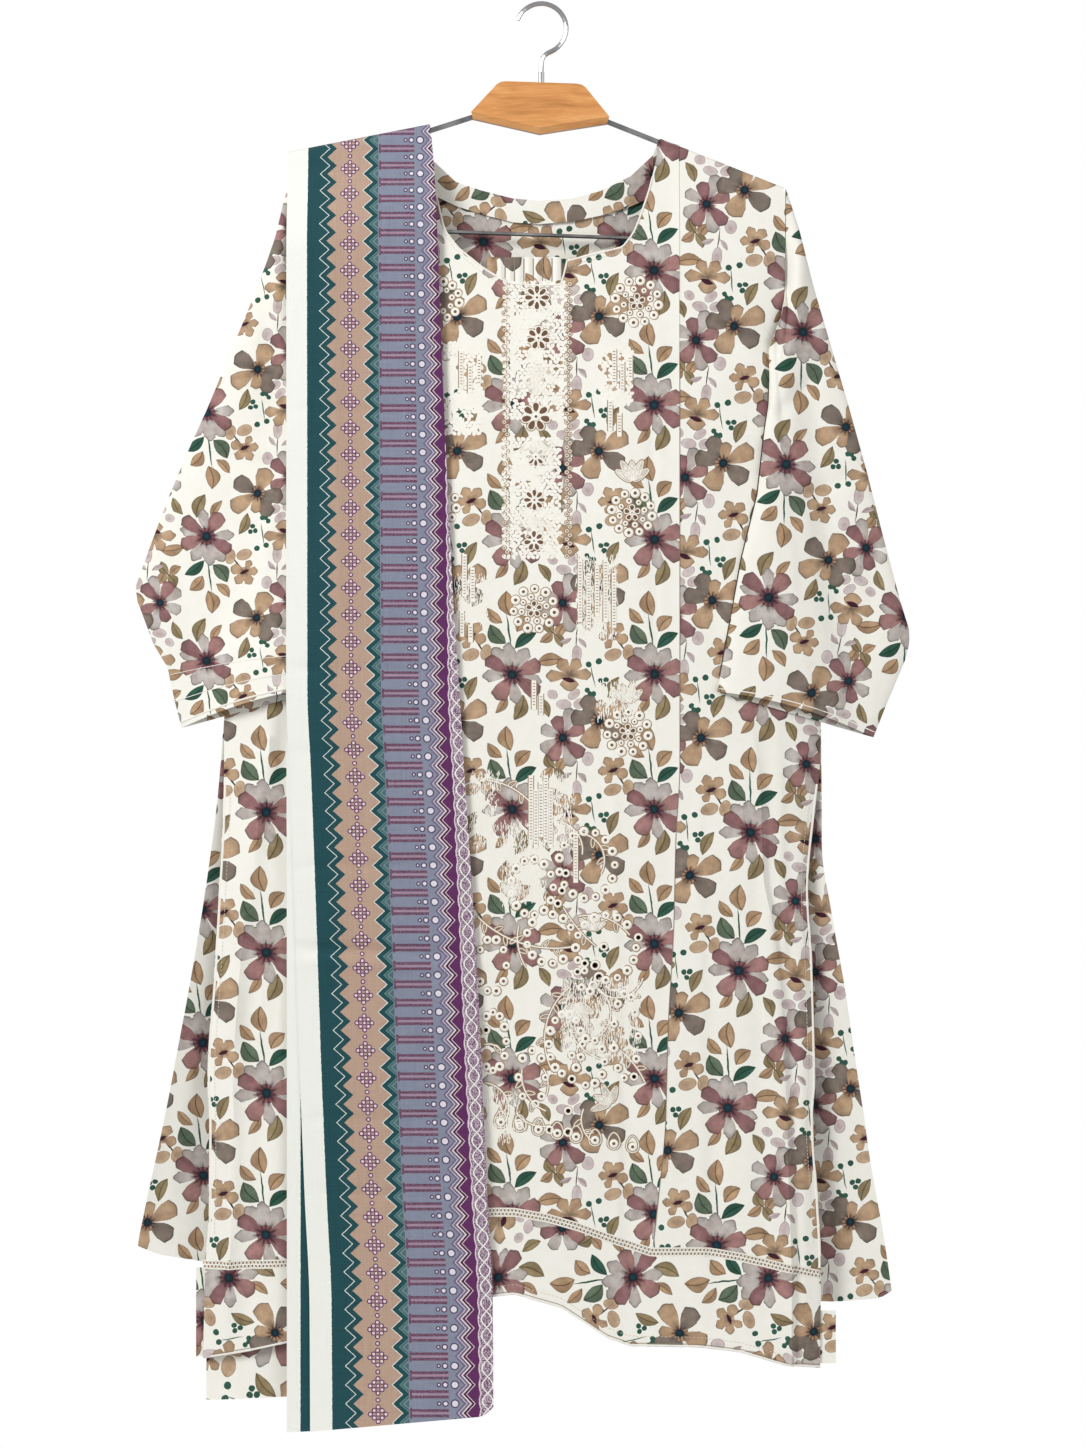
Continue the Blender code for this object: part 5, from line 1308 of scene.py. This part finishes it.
class Sewing:
    """Raised cream threads, a darker line of painted shade along them, and painted shade in their
    loops.
    """

    def __init__(self):
        self.cream, self.tan, self.hole_shade = Threads(), Threads(), Threads()

    def line(self, places, radius, sides=4, closed=False, flat=0.7, lift=0.15, rim=LINE_EDGE):
        path = [on_cloth(x, drop, lift) for x, drop in places]
        self.cream.tube(path, radius, sides, closed, flat)
        # painted shade: a flat darker tube under the thread, wider than it
        if rim:
            self.tan.tube([(x, y + lift, z) for x, y, z in path], radius + rim, sides, closed,
                          EDGE_HEIGHT / (radius + rim))

    def patch(self, places, top=0.24, threads=None):
        """A thin patch inside an oval, dark painted shade if not told otherwise."""
        (threads or self.hole_shade).skin([[on_cloth(x, drop, lift) for x, drop in places]
                                      for lift in (-0.1, top)])

    def ring(self, x, drop, radius):
        """A worked eyelet, with dark painted shade at its middle where its hole would be."""
        if shows(x, drop):
            self.line(oval(x, drop, radius * 0.68, radius * 0.68, count=10), radius * 0.36, 5,
                      True, 0.5, rim=0.9)
            self.patch(oval(x, drop, radius * 0.46, radius * 0.46, count=7))

    def flower(self, x, drop, petals, radius):
        wide = min(0.3 * radius, 1.7 * radius / petals)
        for k in range(int(petals)):
            turn = 90.0 + 360.0 * k / petals
            px, pd = round_place(x, drop, 0.62 * radius, -math.radians(turn))
            self.line(oval(px, pd, 0.36 * radius, wide, turn, 12, 0.25), PETAL_THREAD, 4, True)
            # each petal's middle is dark painted shade, as if cut open
            self.patch(oval(px, pd, 0.3 * radius, wide * 0.76, turn, 9, 0.25))
        self.ring(x, drop, 0.25 * radius)

    def leaf(self, x, drop, long, wide, turn, sewn=True):
        """A leaf from its foot at x, drop: its outline, and stitches across it."""
        cosine, sine = heading(turn)
        middle = x + long * cosine, drop - long * sine
        self.line(oval(*middle, long, wide, turn, 14, -0.3), LEAF_THREAD, 4, True)
        for k in range(1, int(2.0 * long / STITCH_PITCH) if sewn else 0):
            along = k * STITCH_PITCH
            half = wide * math.sqrt(max(0.0, 1.0 - (along / long - 1.0) ** 2)) * 0.92
            ends = [(x + (along - side * 0.8) * cosine - side * half * sine,
                     drop - (along - side * 0.8) * sine - side * half * cosine)
                    for side in (-1.0, 1.0)]
            middle = tuple(blend(a, b, 0.5) for a, b in zip(*ends))
            self.line([ends[0], middle, ends[1]], STITCH_THREAD, 4, rim=0.0)

    def ladder(self, x, top, bottom):
        """A worked bar crossed by dark rungs of painted shade."""
        if not shows(x - 2.0, top):
            return
        drops = steps(top, bottom, 12)
        self.line([(x, drop) for drop in drops], BAR_THREAD, 6, flat=0.22)
        for side in (-BAR_SIDE, BAR_SIDE):
            self.line([(x + side, drop) for drop in drops], STITCH_THREAD, 4, lift=0.35, rim=0.0)
        for k in range(1, int((bottom - top) / RUNG_PITCH)):
            # painted shade: dark rungs across the bar
            self.hole_shade.tube([on_cloth(x + side, top + RUNG_PITCH * k, 0.6)
                             for side in (-1.0, 1.0)], RUNG_THREAD)

    def rosette(self, x, drop, radius, count):
        """Two rounds of worked eyelets about a small flower."""
        for many, start, across, down, size, change, cycle in (
                (count, 0.3, 1.0, 0.98, 4.1, -0.35, 3), (8, 0.7, 0.62, 0.6, 2.3, 0.3, 2)):
            for k in range(int(many)):
                turn = math.tau * (k + start) / many
                self.ring(x + across * radius * math.cos(turn),
                          drop + down * radius * math.sin(turn), size + change * (k % cycle))
        if shows(x - 8.0, drop):
            self.flower(x, drop, 5, 7.5)

    def sprig(self, x, drop, long, first, bend):
        """A bending stem with small leaves by turns on each side."""
        count = max(4, round(long / STEM_STEP))
        places = [(x, drop)]
        for k in range(count):
            turn = math.radians(first + bend * k / (count - 1))
            x, drop = round_place(x, drop, long / count, -turn)
            places.append((x, drop))
        places = [place for place in places if shows(*place)]
        self.line(places, STEM_THREAD, 4)
        for number in range(1, int(long / LEAF_STEP)):
            nearest = round(number * LEAF_STEP * count / long)
            turn = first + bend * number * LEAF_STEP / long
            self.leaf(*places[min(len(places) - 1, nearest)], 4.2, 1.7,
                      turn + 55.0 * (-1) ** number, False)

    def ground(self, left, right, top, bottom, chance):
        """Fine upright stitches that half veil the print, thinner toward the edges."""
        for _ in range(int((right - left) * (bottom - top) / STITCH_ROOM)):
            x, drop = chance.uniform(left, right), chance.uniform(top, bottom)
            edge = min((x - left) / 6.0, (right - x) / 6.0, (drop - top) / 8.0,
                       (bottom - drop) / 8.0)
            long = chance.uniform(1.6, 4.4)
            if chance.random() < edge + 0.25 and shows(x, drop):
                lean = chance.uniform(-0.3, 0.3)
                self.line([(x - lean, drop - long / 2), (x + lean, drop + long / 2)], 0.4, 3,
                          flat=0.5, lift=0.08, rim=0.0)

    def lace(self, left, right, top, bottom, chance):
        """Satin-stitched ovals close together, the print seen between them."""
        for row in range(int((bottom - top) / LACE_DOWN)):
            for step in range(int((right - left) / LACE_ACROSS)):
                x = left + LACE_ACROSS * (step + 0.5 * (row % 2)) + chance.uniform(-0.5, 0.5)
                drop = top + LACE_DOWN * row + chance.uniform(-0.4, 0.4)
                turn = chance.uniform(-40.0, 220.0)
                if chance.random() < 0.86:
                    self.patch(oval(x, drop, 2.6, 1.75, turn, 7), 0.12, self.cream)


ROSETTES = table("x drop radius count", """85.9 267.9 19.5 12, 81.4 457.2 18.3 12,
    -6.2 543.1 18.4 11, 77.7 653.4 18.4 11, -90 266.4 17 12, -93.6 450 18 12""")
LACE_FLOWERS = table("x drop petals radius", """-3.6 264.2 8 11.5, -2.2 300.6 7 11,
    -4.5 370.8 7 13.5, -4.7 406.8 8 9, -5.9 445.5 8 10, -6.3 482 7 9.5""")
LEAF_SPRAYS = table("x drop long first last count", """82 428 8.8 35 150 5, 78 626 8.1 40 145 4,
    -4 326 7.4 205 335 4, -4.5 351 7.4 50 130 3, -4.5 392 8.8 215 325 4, -5.9 461 8.1 210 330 4,
    -26 800 7.4 60 130 3, 46 830 6.8 30 140 4, 32 896 8.8 215 330 5, 62 985 8.1 70 200 4""")
# Zigzags down the lace's edges: where, from which drop, steps and loops.
LACE_EDGES, LACE_EDGE_TOP, LACE_EDGE_STEP, LACE_EDGE_LOOPS = (-31.5, 24.5), 252.0, 3.75, 66
# Ovals of worked eyelets.
WREATHS = table("x drop across down count", """41 772 25 30 15, -8 792 19 25 13, 58 846 27 29 16,
    8 838 21 22 13, 44 872 11 13 8, -44 862 13 24 10, -43 930 12 26 12, 22 932 15 27 14,
    42 948 15 21 11, 76 925 11 38 11, -8 962 12 24 8""")
# The lowest row, of drops: half of their length and width, and the hole's place and size.
DROPLETS, DROPLET_FROM, DROPLET_TO = 8, (-36.0, 1000.0), (82.0, 1022.0)
DROPLET, DROPLET_HOLE = (7.5, 5.4), (2.4, 3.8)
WREATH_RING, RING_ROOM = 3.7, 5.5          # size of a wreath's eyelets, and room between them
# Blocks of worked bars side by side.
BARS = table("x top bottom count step", """35 505 555 5 7.6, -68.4 500 532 2 7.2,
    -71.3 318 345 3 7.9, 65.5 316 344 3 7.2, 62 362 384 2 8.1, -9 698 752 5 4.4,
    -70.7 551 568 2 7.7, -6.3 613 633 2 6.3, 31 749 788 1 1""")
# Patches of lace, then of stitched ground.
LACE_GROUNDS = 4
GROUNDS = table("left right top bottom", """-32 24 251 377, -33 22 391 500, -86 -50 305 391,
    53 86 310 365, -82 -46 512 557, 31 69 494 571, -37 6 733 809, -64 -37 688 760, 50 89 607 643,
    -1 31 688 760, -68 -19 976 1021, 17 89 872 949""")
# Stems that bend evenly: from where, how long, first heading, whole bend.
SPRIGS = table("x drop long heading bend", """-58 817 96 -45 55, -20 827 38 -100 40,
    -49 696 48 -8 -40, 14 733 42 -10 -85, 37 744 46 -15 -100, 20 810 46 -60 20, 33 818 52 10 -60,
    51 884 50 -40 110, 26 881 82 -140 75, 27 882 78 -115 95, 50 882 62 -35 -130,
    -17 955 46 -95 70, 2 954 26 -60 -50, -54 967 52 0 -120, -22 994 34 -50 60, 38 990 38 -110 85,
    71 938 36 -40 -25, -57 936 24 35 -80""")


def build_embroidery():
    sewing = Sewing()
    for x, drop, diameter in zip(*EYELETS.values()):
        sewing.line(oval(x, drop, diameter / 2 + 0.55, diameter / 2 + 0.55, count=14), 0.95, 5,
                    True, 0.55, rim=0.5)
    cut = list(zip(EYELETS["x"], EYELETS["drop"]))
    for x, drop, across, down_reach, count in zip(*WREATHS.values()):
        for k, turn in enumerate(circle(int(count))):
            place = x + across * math.cos(turn), drop + down_reach * math.sin(turn)
            if min(math.dist(place, other) for other in cut) > RING_ROOM:
                sewing.ring(*place, WREATH_RING + 0.4 * (k % 3 - 1))
                cut.append(place)
    for rows, work in ((ROSETTES, sewing.rosette), (LACE_FLOWERS, sewing.flower)):
        for row in zip(*rows.values()):
            work(*row)
    for x, top, bottom, count, step in zip(*BARS.values()):
        for k in range(int(count)):
            sewing.ladder(x + step * k, top + 6.0 * (2 * k % 3 - 1),
                          bottom + 5.0 * ((k + 1) % 3 - 1))
    for x, drop, long, first, last, count in zip(*LEAF_SPRAYS.values()):
        for k, turn in enumerate(steps(first, last, int(count) - 1)):
            sewing.leaf(x, drop, long * (1.0 + 0.15 * (k % 2)), long * 0.4, turn)
    for x, drop in zip(*(steps(low, high, DROPLETS - 1)
                         for low, high in zip(DROPLET_FROM, DROPLET_TO))):
        sewing.line(oval(x, drop, *DROPLET, 90.0, 16, -0.25), 0.6, 4, True)
        sewing.ring(x, drop + DROPLET_HOLE[0], DROPLET_HOLE[1])
    for row in zip(*SPRIGS.values()):
        sewing.sprig(*row)
    for x in LACE_EDGES:
        for k in range(LACE_EDGE_LOOPS):
            drop = LACE_EDGE_TOP + LACE_EDGE_STEP * k
            sewing.line(oval(x + 1.3 * (-1) ** k, drop, 1.5, 1.3, count=7), LEAF_THREAD, 4, True)
    veil, chance = Sewing(), random.Random(7)
    for number, row in enumerate(zip(*GROUNDS.values())):
        (veil.lace if number < LACE_GROUNDS else veil.ground)(*row, chance)
    # the edge and hole pieces are painted shade, the rest is cream thread
    return [threads.made(name, material, "front_centre_print") for threads, name, material in (
        (sewing.cream, "embroidery", THREAD), (sewing.tan, "embroidery_edge_shade", TAN_SHADE),
        (sewing.hole_shade, "embroidery_hole_shade", DARK_SHADE), (veil.cream, "stitched_ground", THREAD))]


# ---------------------------------------------------------------- edges, stitches, painted shade lines and lace

SEAM_END = 1140.0         # below where the front's edges meet the lace
STITCH = 3.4              # from stitch to stitch of the seams
LACE_LEFT, LACE_RIGHT, LACE_PITCH = -303.0, 250.5, 3.3     # the rings of the lace
LACE_RING, LACE_ROWS, LACE_CORDS = (1.35, 1.6), (2.4, 5.7), (0.5, 4.05, 7.6)
CUFF_LINES = ((109, 0.9), (105, 0.35), (100, 0.3))         # rings of the sleeve, and radii
SHADED_RINGS = slice(12, 108, 3)
# the middle one gathers dark lines of painted shade
edges, shade_lines, stitches = Threads(), Threads(), Threads()


def sewn_on(threads, places, lift, radius, sides, flat=1.0, surface_point=on_cloth):
    """A thread along places on the front."""
    threads.tube([surface_point(x, drop, lift) for x, drop in places], radius, sides, flat=flat)


def down_to_lace(rows, side, shift, top, short, count):
    """Places down an edge or a seam of the front to its lace."""
    end = straight(LACE_LINE, read(rows, side, SEAM_END))
    return [(read(rows, side, drop) + shift, drop) for drop in np.linspace(top, end - short, count)]


def slit_edge(side, shift):
    return down_to_lace(FRONT_SIDES, side, shift, JOINED_END, 2.0, 60)


def along_line(line, shift, xs):
    """Places along a line across the front."""
    return [(x, straight(line, x) + shift) for x in xs]


def stitched(path):
    """A row of stitches along places on the front."""
    for (x1, d1), (x2, d2) in zip(path, path[1:]):
        count = max(1, round(math.dist((x1, d1), (x2, d2)) / STITCH))
        for k in range(count):
            ends = (k + 0.2) / count, (k + 0.8) / count
            sewn_on(stitches, [(blend(x1, x2, p), blend(d1, d2, p)) for p in ends], 0.12, 0.28, 3)


def build_trim():
    """Folded edges and stitches of the front, and dark lines of painted shade at its seam, tucks
    and hem.
    """
    for side, inward in (("left", 1.0), ("right", -1.0)):
        sewn_on(edges, slit_edge(side, 1.4 * inward), 0.1, 1.3, 6, 0.5)
    for side, outward in (("right", 1.0), ("left", -1.0)):
        # painted shade: a dark line beside each front seam, where the middle panel's edge would
        # shade the side panel
        places = down_to_lace(FRONT_SEAMS, side, 0.9 * outward, 330.0, 3.0, 80)
        sewn_on(shade_lines, places, 0.15, 0.42, 4)
    neck = np.linspace(-96.0, 100.0, 70)
    sewn_on(edges, along_line(FRONT_NECKLINE, 1.2, neck), 0.2, 0.9, 5, 0.6)
    stitched(along_line(FRONT_NECKLINE, 6.0, neck[::3]))
    for side, inward in (("left", 1.0), ("right", -1.0)):
        stitched(slit_edge(side, 6.5 * inward)[::4])
    stitched(along_line(BORDER_HEM, -9.0, np.linspace(-45.0, 236.0, 40)))
    # painted shade: dark lines in the folds between the tucks
    for x in steps(TUCKS_LEFT, TUCKS_RIGHT, TUCKS):
        foot = straight(FRONT_NECKLINE, x) - TUCKS_FOOT
        places = [(x, drop) for drop in steps(TUCKS_TOP + TUCKS_FOOT, foot, 2)]
        sewn_on(shade_lines, places, 0.1, 0.55, 4)
    hem = np.linspace(-296.0, 250.0, 110)
    sewn_on(edges, along_line(BORDER_HEM, -1.2, hem), 0.1, 1.0, 5, 0.5)
    # painted shade: a dark line just above the folded hem
    sewn_on(shade_lines, along_line(BORDER_HEM, -2.9, hem), 0.12, 0.35, 4)
    # the dark lines make one piece of painted seam shade
    return [threads.made(name, plain_cotton(*look), "front_centre_print")
            for threads, name, look in (
                (edges, "folded_edges", ("white_folded_edge", "FBF9F2", "F1EDE2")),
                (shade_lines, "seam_shade_lines", ("seam_shade", "A39686", "857868")),
                (stitches, "seam_stitches", ("sewing_thread", "E4DDCD", "D3CAB8")))]


def build_cuffs(sleeves, edge):
    """Turned edges round the cuffs, and the shade where the sleeves lie on the body."""
    cuffs, shade = Threads(), Threads()
    for piece in sleeves:
        outside = np.array([vertex.co for vertex in piece.data.vertices])
        outside = outside[:(SLEEVE_RINGS + 1) * 2 * SLEEVE_SIDE]
        rings = outside.reshape(SLEEVE_RINGS + 1, 2 * SLEEVE_SIDE, 3) / MM
        toward = -math.copysign(0.7, rings[0, SLEEVE_SIDE, 0])
        places = [(x + toward, -z) for x, _, z in rings[SHADED_RINGS, SLEEVE_SIDE]]
        sewn_on(shade, places, 0.1, 0.95, 5, 0.3)
        for ring, radius in CUFF_LINES:
            cuffs.tube(rings[ring, 1:SLEEVE_SIDE] + (0.0, -0.3, 0.0), radius, 5, flat=0.5)
    return (cuffs.made("cuff_edges", edge, "sleeve_left_print"),
            shade.made("underarm_shade", plain_cotton("gap_shade", "5A5047", "453C35"),
                       "front_centre_print"))


def build_lace():
    """The lace above the border: two rows of rings between three cords, over darker strips of
    painted shade that fill the gap behind them.
    """
    lace, lace_gap_shade = Threads(), Threads()
    for row, shift in enumerate(LACE_ROWS):
        for x in (LACE_LEFT + LACE_PITCH * k + LACE_PITCH / 2.0 * row for k in range(169)):
            if x > LACE_RIGHT:
                break
            drop = straight(LACE_LINE, x) + shift
            lace.tube([on_front(x + LACE_RING[0] * math.cos(turn),
                                drop + LACE_RING[1] * math.sin(turn), 0.2)
                       for turn in circle(8)], 0.5, 4, closed=True)
    xs = np.arange(LACE_LEFT, LACE_RIGHT + 0.5, 4.0)
    for shift in LACE_CORDS:
        sewn_on(lace, along_line(LACE_LINE, shift, xs), 0.2, 0.6, 4, 1.0, on_front)
    # strips that fill the gap behind the rings, darkened as painted shade
    for shift in (2.3, 5.8):
        sewn_on(lace_gap_shade, along_line(LACE_LINE, shift, xs), -0.5, 1.6, 4, 0.15, on_front)
    return (lace_gap_shade.made("lace_shade", TAN_SHADE, "lace_cotton"),
            lace.made("lace_insertion", LACE, "lace_cotton", ("kameez_front_lace",)))


# ---------------------------------------------------------------- made up

front_centre = build_front_centre()
side_left = build_front_side("front_side_left", -1, laid(-244.8, 723.6, 0.0, 0.957),
                             "kameez_front_side_left")
side_right = build_front_side("front_side_right", 1, laid(238.5, 126.9, -4.64, 0.977),
                              "kameez_front_side_right")
border = build_border()
turn_left = build_turnback("turnback_left", 0, laid(-300.0, 1180.0),
                           "kameez_front_turnback_left")
turn_right = build_turnback("turnback_right", 1, laid(300.0, 1100.0),
                            "kameez_front_turnback_right")
tucks = build_tucks()
FRONT = surface((front_centre, side_left, side_right, border, tucks))
pierce(front_centre)
embroidery = build_embroidery()
back = build_back()
facing = build_facing()
sleeve_left = build_sleeve("sleeve_left_cloth", -1, SLEEVE_LEFT_OUTER, SLEEVE_LEFT_INNER,
                           SLEEVE_FOLDS_LEFT, laid(-301.5, 478.8, 180.0, 1.08),
                           "sleeve_left")
sleeve_right = build_sleeve("sleeve_right_cloth", 1, SLEEVE_RIGHT_OUTER, SLEEVE_RIGHT_INNER,
                            SLEEVE_FOLDS_RIGHT, laid(217.8, 414.9, 172.4, 1.0),
                            "sleeve_right")
dupatta = build_dupatta("dupatta_top", DUPATTA, DUPATTA_HEM, -1,
                        "dupatta_front")
dupatta_under = build_under()
dupatta_behind = build_dupatta("dupatta_behind", DUPATTA_BACK, DUPATTA_BACK_HEM, 1,
                               "dupatta_back")
leg_front = build_leg("leg_in_front", -1, "trousers_leg_front")
leg_back = build_leg("leg_behind", 1, "trousers_leg_back")
waistband = build_waistband()
trim = build_trim()
cuff_edges, underarm_shade = build_cuffs((sleeve_left, sleeve_right),
                                         bpy.data.materials["white_folded_edge"])
lace_shade, lace_insertion = build_lace()

# ---------------------------------------------------------------- stage

for name, size, place, aim_z, power in (
        ("key", 1.2, (-1.9, -2.1, 0.9), -0.6, 66.0), ("fill", 2.4, (2.4, -2.4, -0.4), -0.6, 24.0),
        ("behind", 2.0, (0.6, 2.6, 0.8), -0.5, 22.0)):
    data = bpy.data.lights.new(name, "AREA")
    data.shape, data.size, data.energy = "DISK", size, power
    lamp = linked(name, data)
    lamp.location = place
    lamp.rotation_mode = "QUATERNION"
    aim = Vector((0.0, 0.0, aim_z)) - Vector(place)
    lamp.rotation_quaternion = aim.to_track_quat("-Z", "Y")

WORLD_LIGHT = 0.42        # the camera sees the world at 1, plain white
world = bpy.data.worlds.new("studio")
bpy.context.scene.world = world
world.use_nodes = True
sky = Nodes(world.node_tree)
background = sky.tree.nodes["Background"]
background.inputs["Color"].default_value = (1.0, 1.0, 1.0, 1.0)
seen = sky.add("LightPath", out="Is Camera Ray")
strength = sky.add("MapRange", named={"Value": seen, "To Min": WORLD_LIGHT, "To Max": 1.0})
sky.put(background.inputs["Strength"], strength)

FLOOR_RADIUS, FLOOR_Z = 0.5, -1.45
floor_mesh = bpy.data.meshes.new("floor")
ring = [(*round_place(0.0, 0.0, FLOOR_RADIUS, turn), FLOOR_Z) for turn in circle(64)]
floor_mesh.from_pydata(ring, [], [list(range(64))])
shader = Shader("pale_floor", Roughness=0.9)
shader.finish(shader.mix(shader.noise(shader.object_place(), 6.0), rgb("F4F4F2"), rgb("EFEFED")))
floor_mesh.materials.append(shader.material)
floor = linked("floor", floor_mesh)

camera = bpy.data.cameras.new("camera")
camera.sensor_fit, camera.sensor_height, camera.sensor_width = "VERTICAL", 36.0, 27.0
camera.lens = 82.9
eye = linked("camera", camera)
eye.location, eye.rotation_euler = (0.0018, -3.0, -0.646), (math.radians(90.0), 0.0, 0.0)
bpy.context.scene.camera = eye
bpy.context.scene.view_settings.view_transform = "Standard"
